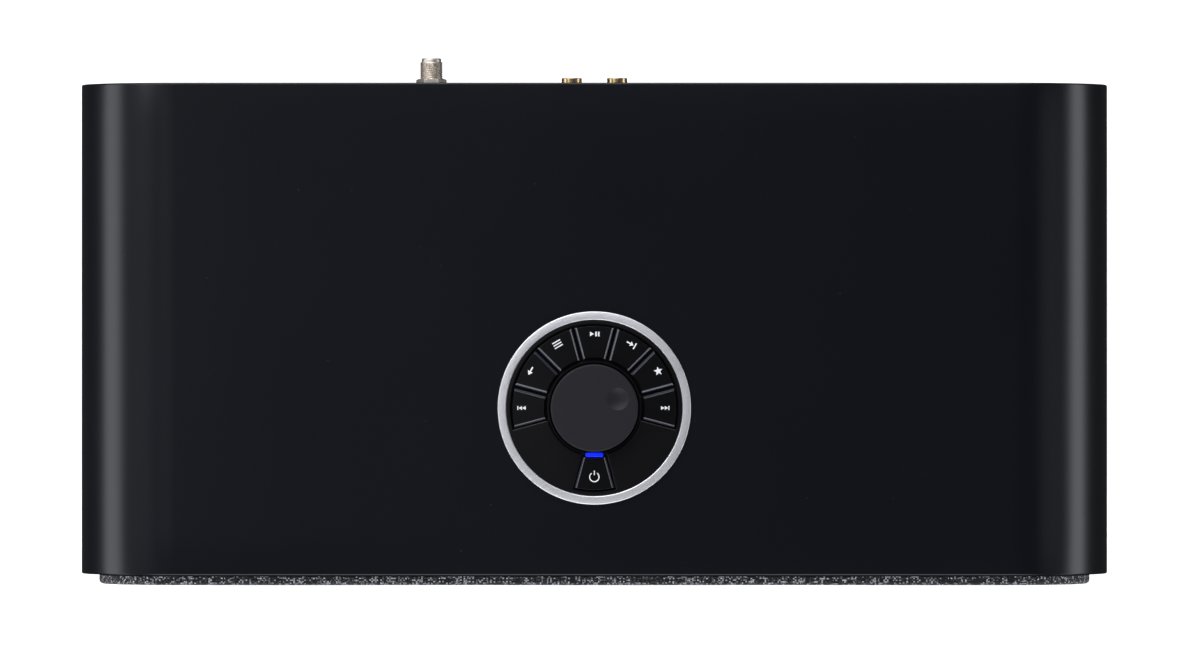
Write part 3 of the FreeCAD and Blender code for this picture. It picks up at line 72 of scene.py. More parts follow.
# Sizes in metres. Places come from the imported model, and forms from these named values.
MM = 0.001


def spans(node, axes):
    """Middles and half lengths of a CAD node's box along the named axes."""
    low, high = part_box(node)
    ends = [(getattr(low, axis), getattr(high, axis)) for axis in axes]
    return [(start + end) / 2 for start, end in ends], [(end - start) / 2 for start, end in ends]


SLEEVE_LOW, SLEEVE_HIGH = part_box("cabinet_sleeve")
TOP = SLEEVE_HIGH.z
FRONT = SLEEVE_LOW.y
REAR = SLEEVE_HIGH.y
DIAL = np.array(Vector((*spans("trim_ring", "xy")[0], TOP)))

# Cabinet
HALF_WIDTH = 210 * MM
FEET = 7 * MM
WALL = 12 * MM
CORNER = 40 * MM
EDGE = 0.7 * MM

# Photograph: pixels across, pixels per millimetre at the cabinet's top, and its axis from the middle
PHOTO_WIDTH = 1200
PHOTO_SCALE = 2.465
PHOTO_AXIS = (2.3 * MM, -2.2 * MM)
CAMERA_HEIGHT = 4.0
SENSOR = 36.0


# Shader nodes
def wire(tree, node, title, value):
    """Give a socket, named or numbered, its value or the output that feeds it."""
    socket = node.inputs[title]
    if isinstance(value, bpy.types.NodeSocket):
        tree.links.new(value, socket)
    else:
        socket.default_value = value


def feed(tree, node, **sockets):
    """Wire several sockets, named with an underscore for each space."""
    for name, value in sockets.items():
        wire(tree, node, name.replace("_", " "), value)
    return node


def put(tree, kind, **settings):
    """Add a shader node. A setting that names a socket is wired, and any other is an attribute."""
    node = tree.nodes.new("ShaderNode" + kind)
    for name, value in settings.items():
        if hasattr(node, name) and name.replace("_", " ") not in node.inputs:
            setattr(node, name, value)
        else:
            feed(tree, node, **{name: value})
    return node


def calc(tree, operation, *values, clamp=False):
    node = put(tree, "Math", operation=operation, use_clamp=clamp)
    for index, value in enumerate(values):
        wire(tree, node, index, value)
    return node.outputs[0]


def blend(tree, factor, first, second, kind="FLOAT", sockets=(2, 3, 0)):
    """Blend two numbers. Sockets are the numbers of both inputs and of the output."""
    node = put(tree, "Mix", data_type=kind)
    for index, value in zip((0, *sockets[:2]), (factor, first, second)):
        wire(tree, node, index, value)
    return node.outputs[sockets[2]]


def blend_colours(tree, factor, first, second):
    return blend(tree, factor, first, second, "RGBA", (6, 7, 2))


def spread(tree, value, low, high, to_low, to_high):
    """Map a value's range onto another."""
    node = put(tree, "MapRange")
    for index, item in enumerate((value, low, high, to_low, to_high)):
        wire(tree, node, index, item)
    return node.outputs[0]


def object_place(tree):
    return put(tree, "TexCoord").outputs["Object"]


def upward(tree):
    """How much a surface looks up, from -1 to 1."""
    normal = put(tree, "NewGeometry").outputs["Normal"]
    return put(tree, "SeparateXYZ", Vector=normal).outputs["Z"]


def new_group(name, inputs, outputs):
    """A shader group with named sockets: each is a name, a socket type and a default."""
    tree = bpy.data.node_groups.new(name, "ShaderNodeTree")
    for title, kind, default in inputs:
        tree.interface.new_socket(name=title, in_out="INPUT", socket_type=kind).default_value = default
    for title, kind in outputs:
        tree.interface.new_socket(name=title, in_out="OUTPUT", socket_type=kind)
    return tree, tree.nodes.new("NodeGroupInput"), tree.nodes.new("NodeGroupOutput")


FLOAT = "NodeSocketFloat"
COLOUR = "NodeSocketColor"
VECTOR = "NodeSocketVector"


def grain_group():
    """Fine even grain of a moulded, painted or blasted surface, with slow drift in its gloss.

    The grain's lattice is turned away from the object's faces, so that it never shows as a pattern.
    """
    tree, given, out = new_group("surface grain", [
        ("Grain Size", FLOAT, 0.0004), ("Grain Depth", FLOAT, 0.2), ("Drift Size", FLOAT, 0.05),
        ("Roughness", FLOAT, 0.4), ("Roughness Drift", FLOAT, 0.05),
    ], [("Normal", VECTOR), ("Roughness", FLOAT), ("Drift", FLOAT)])

    def noise(place, size, detail):
        scale = calc(tree, "DIVIDE", 1.0, given.outputs[size])
        return put(tree, "TexNoise", Vector=place, Scale=scale, Detail=detail).outputs["Fac"]

    place = object_place(tree)
    turned = put(tree, "Mapping", Vector=place, Rotation=(0.61, 0.94, 0.37)).outputs[0]
    bump = put(tree, "Bump", Strength=given.outputs["Grain Depth"], Distance=0.1 * MM,
               Height=noise(turned, "Grain Size", 2.0))
    drift = noise(place, "Drift Size", 3.0)
    shift = calc(tree, "MULTIPLY", calc(tree, "SUBTRACT", drift, 0.5), given.outputs["Roughness Drift"])
    roughness = calc(tree, "ADD", given.outputs["Roughness"], shift, clamp=True)
    feed(tree, out, Normal=bump.outputs["Normal"], Roughness=roughness, Drift=drift)
    return tree


def dust_group():
    """Sparse pale specks of dust that lie on faces that look up."""
    tree, given, out = new_group("settled dust", [
        ("Colour", COLOUR, (0, 0, 0, 1)), ("Speck Size", FLOAT, 0.0012), ("Amount", FLOAT, 0.02),
    ], [("Colour", COLOUR)])
    speck_radius, steepest, strength, dust = 0.12, 0.7, 0.25, (0.35, 0.35, 0.36, 1)
    cells = put(tree, "TexVoronoi", Vector=object_place(tree),
                Scale=calc(tree, "DIVIDE", 1.0, given.outputs["Speck Size"]))
    pick = put(tree, "SeparateColor", Color=cells.outputs["Color"])
    near = calc(tree, "LESS_THAN", cells.outputs["Distance"], speck_radius)
    some = calc(tree, "LESS_THAN", pick.outputs["Red"], given.outputs["Amount"])
    level = calc(tree, "GREATER_THAN", upward(tree), steepest)
    mask = calc(tree, "MULTIPLY", calc(tree, "MULTIPLY", near, some), level)
    share = calc(tree, "MULTIPLY", mask, strength)
    feed(tree, out, Colour=blend_colours(tree, share, given.outputs["Colour"], dust))
    return tree


# Cloth: greys along the yarns' random values, how many stitches a yarn keeps its shade, how crooked
# it runs, and an even number that keeps every count of stitches above zero
MELANGE_STOPS = ((0.0, 0.004), (0.46, 0.006), (0.55, 0.04), (0.7, 0.09), (0.8, 0.42), (1.0, 0.86))
BLUE_CAST = 1.06
DASH_STITCHES = 2.6
YARN_WOBBLE = 0.9
WOBBLE_SCALE = 260.0
EVEN_START = 4000.0
LIFT_SHARE, CROWN_SHARE = 0.6, 0.4
WARP_SEED, WEFT_SEED = 3.7, 9.2
# Painted shade: the colour blended in where the yarns dip between each other
GROOVE_PAINTED_SHADE = (0.004, 0.004, 0.004, 1)


def melange_group():
    """Plain weave of mixed black, grey and white yarn, laid out on the cloth's flat coordinates.

    Warp and weft take turns on top. Each yarn keeps one shade for a few stitches, so light and
    dark come in short dashes both ways.
    """
    tree, given, out = new_group("melange weave", [("Yarn Pitch", FLOAT, 0.00072)],
                                 [("Colour", COLOUR), ("Height", FLOAT)])
    flat = put(tree, "UVMap", uv_map="flat").outputs["UV"]
    wobble = put(tree, "TexNoise", Vector=flat, Scale=WOBBLE_SCALE, Detail=1.0)
    shifts = put(tree, "SeparateColor", Color=wobble.outputs["Color"])
    parts = put(tree, "SeparateXYZ", Vector=flat)

    def yarn(axis, shift):
        """Yarns counted along an axis, where each runs a little crooked."""
        push = calc(tree, "MULTIPLY", calc(tree, "SUBTRACT", shifts.outputs[shift], 0.5), YARN_WOBBLE)
        count = calc(tree, "DIVIDE", parts.outputs[axis], given.outputs["Yarn Pitch"])
        return calc(tree, "ADD", count, push)

    def shade(fixed, running, seed):
        """A random value that one yarn keeps for a few stitches."""
        run = calc(tree, "FLOOR", calc(tree, "DIVIDE", running, DASH_STITCHES))
        spot = put(tree, "CombineXYZ", X=fixed, Y=run, Z=seed)
        return put(tree, "TexWhiteNoise", Vector=spot.outputs[0]).outputs["Value"]

    def hump(position):
        return calc(tree, "SINE", calc(tree, "MULTIPLY", calc(tree, "FRACT", position), math.pi))

    across, along = yarn("X", "Red"), yarn("Y", "Green")
    column, row = calc(tree, "FLOOR", across), calc(tree, "FLOOR", along)
    turn = calc(tree, "MODULO", calc(tree, "ADD", calc(tree, "ADD", column, row), EVEN_START), 2.0)
    weft_on_top = calc(tree, "GREATER_THAN", turn, 0.5)
    tone = blend(tree, weft_on_top, shade(column, along, WARP_SEED), shade(row, across, WEFT_SEED))
    ramp = put(tree, "ValToRGB", Fac=tone)
    elements = ramp.color_ramp.elements
    while len(elements) < len(MELANGE_STOPS):
        elements.new(0.5)
    for element, (at, grey) in zip(elements, MELANGE_STOPS):
        element.position = at
        element.color = (grey, grey, grey * BLUE_CAST, 1)
    warp_hump, weft_hump = hump(across), hump(along)
    lift = calc(tree, "MULTIPLY", blend(tree, weft_on_top, warp_hump, weft_hump), LIFT_SHARE)
    crown = calc(tree, "MULTIPLY", calc(tree, "MULTIPLY", warp_hump, weft_hump), CROWN_SHARE)
    height = calc(tree, "ADD", lift, crown)
    # Painted shade: darker towards the groove colour where the weave is low
    groove = spread(tree, height, 0.15, 0.7, 0.35, 1.0)
    feed(tree, out, Height=height, Colour=blend_colours(tree, groove, GROOVE_PAINTED_SHADE, ramp.outputs["Color"]))
    return tree


GROUPS = {"grain": grain_group(), "dust": dust_group(), "melange": melange_group()}


def use_group(tree, name, **sockets):
    return put(tree, "Group", node_tree=GROUPS[name], **sockets)


def new_material(name):
    """A material, its node tree and its Principled shader."""
    material = bpy.data.materials.new(name)
    material.use_nodes = True
    return material, material.node_tree, material.node_tree.nodes["Principled BSDF"]


def grained(name, colour, roughness, grain=0.0004, depth=0.15, drift=0.05, metallic=0.0,
            drift_size=0.05, colour_drift=0.15, dusty=0.0, **sockets):
    """A Principled finish with grain in its normal, drift in its gloss and a little in its colour."""
    material, tree, shader = new_material(name)
    texture = use_group(tree, "grain", Grain_Size=grain, Grain_Depth=depth, Drift_Size=drift_size,
                        Roughness=roughness, Roughness_Drift=drift)
    light = tuple(min(1.0, part * (1 + colour_drift)) for part in colour) + (1,)
    dark = tuple(part * (1 - colour_drift) for part in colour) + (1,)
    shown = blend_colours(tree, texture.outputs["Drift"], dark, light)
    if dusty:
        shown = use_group(tree, "dust", Colour=shown, Amount=dusty).outputs["Colour"]
    feed(tree, shader, Base_Color=shown, Normal=texture.outputs["Normal"],
         Roughness=texture.outputs["Roughness"], Metallic=metallic, **sockets)
    return material


# Finishes
def lacquer_finish():
    """Satin black lacquer with a faint blue cast over bent board: soft peel and a few specks."""
    return grained("satin_lacquer", (0.0020, 0.0023, 0.0042), 0.29, grain=0.0011, depth=0.05,
                   drift=0.035, drift_size=0.09, colour_drift=0.12, dusty=0.004, Specular_IOR_Level=0.5)


def aluminium_finish():
    return grained("blasted_aluminium", (0.985, 0.98, 0.97), 0.46, grain=0.0005, depth=1.0,
                   metallic=1.0, drift=0.06, drift_size=0.02, colour_drift=0.04)


def key_finish():
    """Key plastic: satin faces, and flat side bevels that the tool left polished. The bevels are also
    painted paler: a painted highlight of the side lights along them.
    """
    coat, steep = 0.6, (0.45, 0.68)
    material = grained("key_plastic", (0.0016, 0.0015, 0.0017), 0.295, grain=0.00028, depth=0.1,
                       drift=0.04, drift_size=0.02, Specular_IOR_Level=0.3,
                       Coat_Weight=coat, Coat_Roughness=0.1)
    tree = material.node_tree
    shader = tree.nodes["Principled BSDF"]
    satin = shader.inputs["Roughness"].links[0].from_socket
    face = shader.inputs["Base Color"].links[0].from_socket
    up = upward(tree)
    not_upright = spread(tree, up, *steep, 0.0, 1.0)
    not_level = spread(tree, up, 0.80, 0.96, 1.0, 0.0)
    bevel_share = calc(tree, "MULTIPLY", not_upright, not_level)
    polish = spread(tree, bevel_share, 0.0, 1.0, 1.0, 0.5)
    # Painted highlight: the bevels' base colour is blended towards a paler grey, besides their lower
    # roughness.
    feed(tree, shader, Roughness=calc(tree, "MULTIPLY", satin, polish),
         Coat_Weight=spread(tree, up, *steep, 0.0, coat),
         Base_Color=blend_colours(tree, bevel_share, face, (0.04, 0.04, 0.055, 1)))
    return material


def cloth_finish():
    material, tree, shader = new_material("melange_cloth")
    weave = use_group(tree, "melange")
    bump = put(tree, "Bump", Strength=0.7, Height=weave.outputs["Height"], Distance=0.4 * MM)
    feed(tree, shader, Base_Color=weave.outputs["Colour"], Normal=bump.outputs["Normal"],
         Roughness=0.9, Sheen_Weight=0.25, Sheen_Roughness=0.5)
    return material


def glow_finish(name, colour, strength):
    """A lit part, with an even light of its own."""
    return grained(name, colour, 0.3, depth=0.05, Emission_Color=colour + (1,), Emission_Strength=strength)


def board_finish(name, colour):
    """Fibreboard: short pale and dark fibres."""
    return grained(name, colour, 0.85, grain=0.0006, depth=0.5, colour_drift=0.25, drift_size=0.004)


def circuit_finish():
    """Solder mask with a pattern of paler tracks."""
    mask, track = (0.012, 0.07, 0.03), (0.03, 0.14, 0.06)
    material = grained("circuit_board", mask, 0.35, depth=0.05)
    tree = material.node_tree
    cells = put(tree, "TexVoronoi", feature="F1", distance="CHEBYCHEV",
                Vector=object_place(tree), Scale=260.0)
    from_track = calc(tree, "ABSOLUTE", calc(tree, "SUBTRACT", cells.outputs["Distance"], 0.4))
    on_track = calc(tree, "LESS_THAN", from_track, 0.05)
    feed(tree, tree.nodes["Principled BSDF"],
         Base_Color=blend_colours(tree, on_track, mask + (1,), track + (1,)))
    return material


def lens_finish():
    """Smoked window: dark glossy plastic that lets part of the light through."""
    material, tree, shader = new_material("smoked_window")
    texture = use_group(tree, "grain", Grain_Size=0.02, Grain_Depth=0.01, Roughness=0.03,
                        Roughness_Drift=0.02)
    feed(tree, shader, Roughness=texture.outputs["Roughness"], Base_Color=(0.004, 0.004, 0.005, 1),
         Alpha=0.4, IOR=1.45)
    return material


FINISHES = {
    "lacquer": lacquer_finish(),
    "board": board_finish("fibreboard", (0.3, 0.2, 0.12)),
    "painted_board": board_finish("painted_fibreboard", (0.01, 0.01, 0.01)),
    "rear_black": grained("rear_paint", (0.012, 0.012, 0.013), 0.55, grain=0.0007, depth=0.35, dusty=0.02),
    "rubber": grained("soft_rubber", (0.014, 0.014, 0.014), 0.8, grain=0.0005, depth=0.3),
    "dark_screw": grained("black_zinc", (0.05, 0.05, 0.055), 0.35, metallic=1.0, depth=0.1),
    "frame_plastic": grained("frame_plastic", (0.012, 0.012, 0.012), 0.6, depth=0.3),
    "grille_cloth": cloth_finish(),
    "wire": grained("wire_insulation", (0.3, 0.015, 0.012), 0.45, depth=0.05),
    "fascia_gloss": grained("polished_black", (0.004, 0.004, 0.0045), 0.07, grain=0.004,
                            depth=0.015, drift=0.05, Coat_Weight=0.3),
    "lens": lens_finish(),
    "display": grained("display_case", (0.006, 0.007, 0.01), 0.3, depth=0.1),
    "felt": grained("slot_felt", (0.008, 0.008, 0.008), 1.0, grain=0.0003, depth=0.9, Sheen_Weight=0.4),
    "plated_steel": grained("zinc_plate", (0.55, 0.56, 0.56), 0.38, metallic=1.0,
                            grain=0.0008, depth=0.12, drift=0.15, drift_size=0.012),
    "black_plastic": grained("moulded_black", (0.012, 0.012, 0.013), 0.5, depth=0.25),
    "blasted_aluminium": aluminium_finish(),
    "dial_plastic": grained("dial_plastic", (0.0030, 0.0028, 0.0034), 0.3, grain=0.00028,
                            depth=0.2, drift=0.04, drift_size=0.02, Specular_IOR_Level=0.4),
    "key_plastic": key_finish(),
    "white_plastic": grained("white_insulator", (0.6, 0.59, 0.56), 0.4, depth=0.1),
    "red_plastic": grained("red_insulator", (0.45, 0.02, 0.02), 0.4, depth=0.1),
    "silicone": grained("grey_silicone", (0.3, 0.3, 0.31), 0.6, depth=0.1),
    "circuit": circuit_finish(),
    "blue_light": glow_finish("blue_light", (0.003, 0.018, 0.8), 1.0),
    "knob_soft": grained("soft_touch", (0.0120, 0.0104, 0.0132), 0.52, grain=0.0002, depth=0.3,
                         drift=0.04, drift_size=0.02, colour_drift=0.06, Specular_IOR_Level=0.32),
    "basket_steel": grained("powder_coat", (0.015, 0.015, 0.015), 0.5, depth=0.35),
    "magnet": grained("ferrite", (0.05, 0.05, 0.052), 0.6, metallic=0.6, depth=0.3),
    "spider": grained("resin_cloth", (0.4, 0.25, 0.06), 0.8, depth=0.6),
    "paper": grained("coated_paper", (0.02, 0.02, 0.021), 0.7, grain=0.0009, depth=0.6),
    "copper": grained("enamelled_wire", (0.75, 0.32, 0.14), 0.3, metallic=1.0, depth=0.2),
    "nickel": grained("nickel_plate", (0.86, 0.78, 0.68), 0.45, metallic=1.0, grain=0.0005,
                      depth=0.03, drift=0.06, drift_size=0.004),
    "gold": grained("gold_plate", (0.7, 0.51, 0.25), 0.27, metallic=1.0, grain=0.0005, depth=0.06),
    "legend": grained("legend_print", (0.93, 0.93, 0.94), 0.6, depth=0.05),
    "digits": glow_finish("display_digits", (0.55, 0.75, 1.0), 1.4),
}


# Meshes
def grid_faces(rows, columns, close_rows=False):
    """Four-sided faces over rows of points, where each row is closed to a ring."""
    row = np.arange(rows if close_rows else rows - 1)
    r, c = (part.ravel() for part in np.meshgrid(row, np.arange(columns), indexing="ij"))
    r2 = (r + 1) % rows
    c2 = (c + 1) % columns
    return np.stack([r * columns + c, r * columns + c2, r2 * columns + c2, r2 * columns + c], 1)


def add_object(name, data):
    added = bpy.data.objects.new(name, data)
    bpy.context.scene.collection.objects.link(added)
    return added


def dress(name, mesh, finish, body="root", sharp=35, slot=None):
    """A smooth piece on its body. Finish names its material; the slot argument is not used."""
    mesh.polygons.foreach_set("use_smooth", np.ones(len(mesh.polygons), bool))
    if sharp is not None:
        mesh.set_sharp_from_angle(angle=math.radians(sharp))
    mesh.materials.append(FINISHES[finish])
    mesh.update()
    piece = add_object(name, mesh)
    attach(piece, body)
    return piece


def new_piece(name, points, faces, *dressing, **settings):
    """A piece from points and from faces that list their numbers."""
    mesh = bpy.data.meshes.new(name)
    mesh.from_pydata(np.asarray(points, float).reshape(-1, 3).tolist(), [], faces)
    mesh.validate()
    return dress(name, mesh, *dressing, **settings)


def face_outwards(piece):
    """Turn a closed mesh's faces outwards."""
    work = bmesh.new()
    work.from_mesh(piece.data)
    bmesh.ops.recalc_face_normals(work, faces=work.faces)
    work.to_mesh(piece.data)
    work.free()
    piece.data.update()
    return piece


def face_front(piece):
    """Turn an open sheet's faces to the front, if most of them look to the rear."""
    mesh = piece.data
    normals = np.empty(len(mesh.polygons) * 3)
    mesh.polygons.foreach_get("normal", normals)
    if normals[1::3].sum() > 0:
        mesh.flip_normals()


def skin(name, layers, *dressing, ends="capped", **settings):
    """A piece whose skin runs through rows of equally many points.

    Its two ends are capped, joined to each other, or left open.
    """
    grid = np.array(layers)
    rows, count = grid.shape[:2]
    faces = grid_faces(rows, count, ends == "joined").tolist()
    if ends == "capped":
        last = (rows - 1) * count
        faces += [list(range(count))[::-1], list(range(last, last + count))]
    piece = new_piece(name, grid, faces, *dressing, **settings)
    return piece if ends == "open" else face_outwards(piece)


def circle(count):
    """Angles that share out a full turn."""
    return np.linspace(0, 2 * math.pi, count, endpoint=False)


def arc_points(centre, radius, start, end, count):
    """Points of a round stretch, angles in degrees."""
    angle = np.radians(np.linspace(start, end, count))
    return np.stack([centre[0] + radius * np.cos(angle), centre[1] + radius * np.sin(angle)], 1)


def lathe(name, profile, centre, finish, body="root", axis="Z", count=128, ends="joined", **settings):
    """A profile of (radius, height) carried round an axis through centre.

    Height runs along +Z, or along +Y for a piece that looks to the rear.
    """
    profile = np.asarray(profile, float)
    step = np.linalg.norm(profile - np.roll(profile, 1, axis=0), axis=1)
    profile = profile[step > 0.0001 * MM]
    angle = circle(count)
    across = profile[:, :1] * np.cos(angle)
    along = profile[:, :1] * np.sin(angle)
    level = np.broadcast_to(profile[:, 1:], across.shape)
    local = np.stack([across, along, level] if axis == "Z" else [along, level, across], 2)
    return skin(name, local + np.asarray(centre, float), finish, body, ends=ends, **settings)


def level_row(flat, height):
    """Points in X and Y at one height, or each at its own."""
    return np.column_stack([flat, np.broadcast_to(height, len(flat))])


def upright_row(flat, depth):
    """Points in X and Z at one depth."""
    return np.column_stack([flat[:, 0], np.full(len(flat), depth), flat[:, 1]])


def turned_row(radius, depth, angle):
    """Points round an axis that runs along Y, at one depth."""
    return upright_row(np.stack([radius * np.sin(angle), radius * np.cos(angle)], 1), depth)


def rounded_outline(half_width, half_height, radius, per_corner=24, straight=(1, 1)):
    """Points of a rounded rectangle, anticlockwise from the right side's upper end.

    Each corner is a quarter circle, and straight gives how many steps the long (across) and
    short (upright) sides have.
    """
    arcs = [arc_points((sx * (half_width - radius), sz * (half_height - radius)), radius, start, start + 90,
                       per_corner)
            for sx, sz, start in ((1, 1, 0), (-1, 1, 90), (-1, -1, 180), (1, -1, 270))]
    pieces = []
    for index, arc in enumerate(arcs):
        share = np.linspace(0, 1, straight[index % 2] + 1)[1:-1, None]
        pieces += [arc, arc[-1] * (1 - share) + arcs[(index + 1) % 4][0] * share]
    return np.concatenate(pieces)


# Cabinet
def end_rounding(front, rear, radius, steps=6):
    """The outer face's small rounds at its front and rear ends, as (depth, inset)."""
    turns = np.radians(np.linspace(0, 90, steps))
    near = [(front + radius - radius * math.cos(turn), radius - radius * math.sin(turn)) for turn in turns]
    far = [(rear - (depth - front), inset) for depth, inset in near[::-1]]
    return near, far


def outline_at(inset, middle_z, half_width, half_height, radius, **settings):
    """The rounded outline drawn in by an inset, as X and Z."""
    flat = rounded_outline(half_width - inset, half_height - inset, radius - inset, **settings)
    return flat + (0, middle_z)


def cabinet_shell():
    """The bent sleeve: a rounded outline carried from front to rear and back inside.

    Each step along the depth draws the outline in by its own amount, which makes the small
    rounds at both ends and the wall. The round hole for the dial is cut through the top.
    """
    middle = (SLEEVE_LOW.z + TOP) / 2
    near, far = end_rounding(FRONT, REAR, EDGE)
    body = [(y, 0) for y in np.linspace(FRONT + EDGE, REAR - EDGE, 12)[1:-1]]
    inside = [(y, WALL) for y in np.linspace(REAR, FRONT, 8)]
    rings = []
    for depth, inset in near + body + far + inside:
        flat = outline_at(inset, middle, HALF_WIDTH, (TOP - FEET) / 2, CORNER, per_corner=40,
                          straight=(8, 4))
        rings.append(upright_row(flat, depth))
    shell = skin("cabinet_shell", rings, "lacquer", ends="joined")
    radius, reach = 36 * MM, 30 * MM
    hole = lathe("dial_hole_cutter", [(radius, -reach), (radius, reach)], DIAL, "lacquer", ends="capped",
                 count=160)
    cutter = shell.modifiers.new("dial hole", "BOOLEAN")
    cutter.operation = "DIFFERENCE"
    cutter.solver = "EXACT"
    cutter.object = hole
    cut = shell.evaluated_get(bpy.context.evaluated_depsgraph_get())
    mesh = bpy.data.meshes.new_from_object(cut)
    shell.modifiers.clear()
    shell.data = mesh
    bpy.data.objects.remove(hole)
    mesh.set_sharp_from_angle(angle=math.radians(35))
    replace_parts(shell, "cabinet_sleeve")


# Grille cloth, stretched over its frame: the half sizes that tell its sides from its top and bottom,
# and a start that keeps its flat coordinates above zero
SIDE_SPLIT = (0.2028, 0.0753)
FLAT_START = 1.0


def grille_cloth():
    """Woven cloth over the front of the frame, wrapped round its edge and round the fascia's hole.

    The outer outline is morphed to the hole's outline over the front face, then both edges turn
    back over small rounds. The cloth's flat coordinates follow its own surface in metres.
    """
    low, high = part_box("grille_fabric")
    (_, middle), (half_width, half_height) = spans("grille_fabric", "xz")
    (_, hole_middle), (hole_width, hole_height) = spans("front_fascia", "xz")
    radius, hole_radius = CORNER - 7.2 * MM, 4.6 * MM
    roll, hole_roll, gap = 1.8 * MM, 0.8 * MM, 0.6 * MM
    counts = {"per_corner": 36, "straight": (60, 24)}

    def outer(inset):
        return outline_at(inset, middle, half_width, half_height, radius, **counts)

    def inner(grow):
        return outline_at(-grow, hole_middle, hole_width + gap, hole_height + gap, hole_radius, **counts)

    rings = [upright_row(outer(0), high.y), upright_row(outer(0), low.y + roll)]
    for turn in np.radians(np.linspace(0, 90, 7))[1:]:
        rings.append(upright_row(outer(roll * (1 - math.cos(turn))), low.y + roll * (1 - math.sin(turn))))
    start, end = outer(roll), inner(hole_roll)
    for share in np.linspace(0, 1, 26)[1:]:
        rings.append(upright_row(start * (1 - share) + end * share, low.y))
    for turn in np.radians(np.linspace(90, 0, 5))[1:]:
        edge = inner(hole_roll * (1 - math.cos(turn)))
        rings.append(upright_row(edge, low.y + hole_roll * (1 - math.sin(turn))))
    rings.append(upright_row(inner(0), high.y))
    grid = slubs(np.array(rings), low.y)
    cloth = skin("grille_cloth", grid, "grille_cloth", ends="open", sharp=None)
    face_front(cloth)
    flat_map(cloth, grid, low.y, middle)
    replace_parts(cloth, "grille_fabric")


def slubs(grid, face_depth):
    """Thick yarns and a light pull of the stretched cloth: small waves along the front face."""
    x, z = grid[..., 0], grid[..., 2]
    yarns, bends, pulls = (1900, 1700), (310, 270), (46, 61)
    wave = np.sin(x * yarns[0] + 3 * np.sin(z * bends[0])) * np.sin(z * yarns[1] + 2 * np.sin(x * bends[1]))
    pull = 0.5 + 0.5 * np.sin(x * pulls[0] + 1.3) * np.sin(z * pulls[1] + 0.4)
    on_face = np.clip(1 - (grid[..., 1] - face_depth) / (0.5 * MM), 0, 1)
    grid[..., 1] += on_face * (0.05 * MM + 0.035 * MM * wave + 0.05 * MM * pull)
    return grid


def flat_map(piece, grid, face_depth, middle):
    """UV coordinates in metres that run on over the wrapped edges.

    The front face keeps X and Z. Depth behind the face is added outwards along the side it is on.
    """
    depth = np.clip(grid[..., 1] - face_depth, 0, None)
    x, level = grid[..., 0], grid[..., 2] - middle
    on_side = np.abs(x) / SIDE_SPLIT[0] > np.abs(level) / SIDE_SPLIT[1]
    u = x + np.where(on_side, np.sign(x) * depth, 0)
    v = level + np.where(on_side, 0, np.sign(level) * depth)
    values = np.stack([u, v], 2).reshape(-1, 2)
    mesh = piece.data
    corner = np.empty(len(mesh.loops), int)
    mesh.loops.foreach_get("vertex_index", corner)
    layer = mesh.uv_layers.new(name="flat")
    layer.data.foreach_set("uv", (values[corner] + FLAT_START).ravel())


# Control dial. Heights are above the cabinet's top face, and lengths are in metres.
KEY_PITCH = 30
KEY_GAP = 0.65 * MM
KEY_BEVEL = 0.8 * MM
KEY_INNER = 20.2 * MM
KEY_OUTER = 33.4 * MM
KEY_LOW = -2.5 * MM
TROUGH_OUTER = 34.15 * MM
BARREL = 35.65 * MM
WALL_RADIUS = 19.3 * MM
KEYS = {
    "skip_forward_key": 0, "preset_key": 30, "source_key": 60, "play_key": 90, "menu_key": 120,
    "back_key": 150, "skip_back_key": 180, "power_key": 270,
}


def face_height(radius):
    """The dial's face is a shallow cone: 1.5 mm up at the inner wall and 0.8 mm at the rim."""
    share = (radius - WALL_RADIUS) / (BARREL - WALL_RADIUS)
    return (1.5 - 0.7 * share) * MM


def trim_ring():
    """Metal ring: a top that falls a little outwards, small rounds, and a flange of the housing below."""
    inner, outer, soft, top, lip = 35.75 * MM, 39.2 * MM, 0.45 * MM, 1.6 * MM, 0.8 * MM
    fall = 0.22 * MM
    profile = [(inner, lip), (inner, top - soft)]
    profile += list(arc_points((inner + soft, top - soft), soft, 180, 90, 7))
    profile += list(arc_points((outer - soft, top - fall - soft), soft, 86, 0, 7))
    profile += [(outer, 0), (38.5 * MM, 0), (38.5 * MM, lip)]
    ring = lathe("dial_trim_ring", profile, DIAL, "blasted_aluminium", count=256)
    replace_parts(ring, "trim_ring")


def radial_outline(low_angle, high_angle, inner, outer, side_gap):
    """Outline of a ring sector whose sides run parallel to its end radii, a gap away from them.

    At each radius the side stands asin(gap / radius) inside the end angle.
    """
    per_side, per_arc = 14, 26
    radii = np.linspace(inner, outer, per_side)
    lean = np.degrees(np.arcsin(side_gap / radii))
    right = np.radians(low_angle + lean)
    left = np.radians(high_angle - lean)
    arc_out = np.linspace(right[-1], left[-1], per_arc)[1:-1]
    arc_in = np.linspace(left[0], right[0], per_arc)[1:-1]
    angle = np.concatenate([right, arc_out, left[::-1], arc_in])
    radius = np.concatenate([radii, np.full(len(arc_out), outer), radii[::-1], np.full(len(arc_in), inner)])
    return np.stack([radius * np.cos(angle), radius * np.sin(angle)], 1)


def drawn_in(low_angle, high_angle, inner, outer, side_gap, inset, height, arc_share=1.0):
    """The outline moved inwards by inset at its straight sides, and by a share of it at its arcs."""
    arc_inset = inset * arc_share
    flat = radial_outline(low_angle, high_angle, inner + arc_inset, outer - arc_inset, side_gap + inset)
    return level_row(flat, height(np.linalg.norm(flat, axis=1)) if callable(height) else height)


# The bevel of a key and how it runs into the face: how far in, and how far down from the face, in mm
KEY_BEVEL_STEPS = ((0.02, 0.76), (0.06, 0.72), (0.12, 0.67), (0.46, 0.384), (0.8, 0.1), (0.86, 0.05),
                   (0.93, 0.013), (1.0, 0), (1.06, 0))
KEY_ARC_SHARE = 0.3


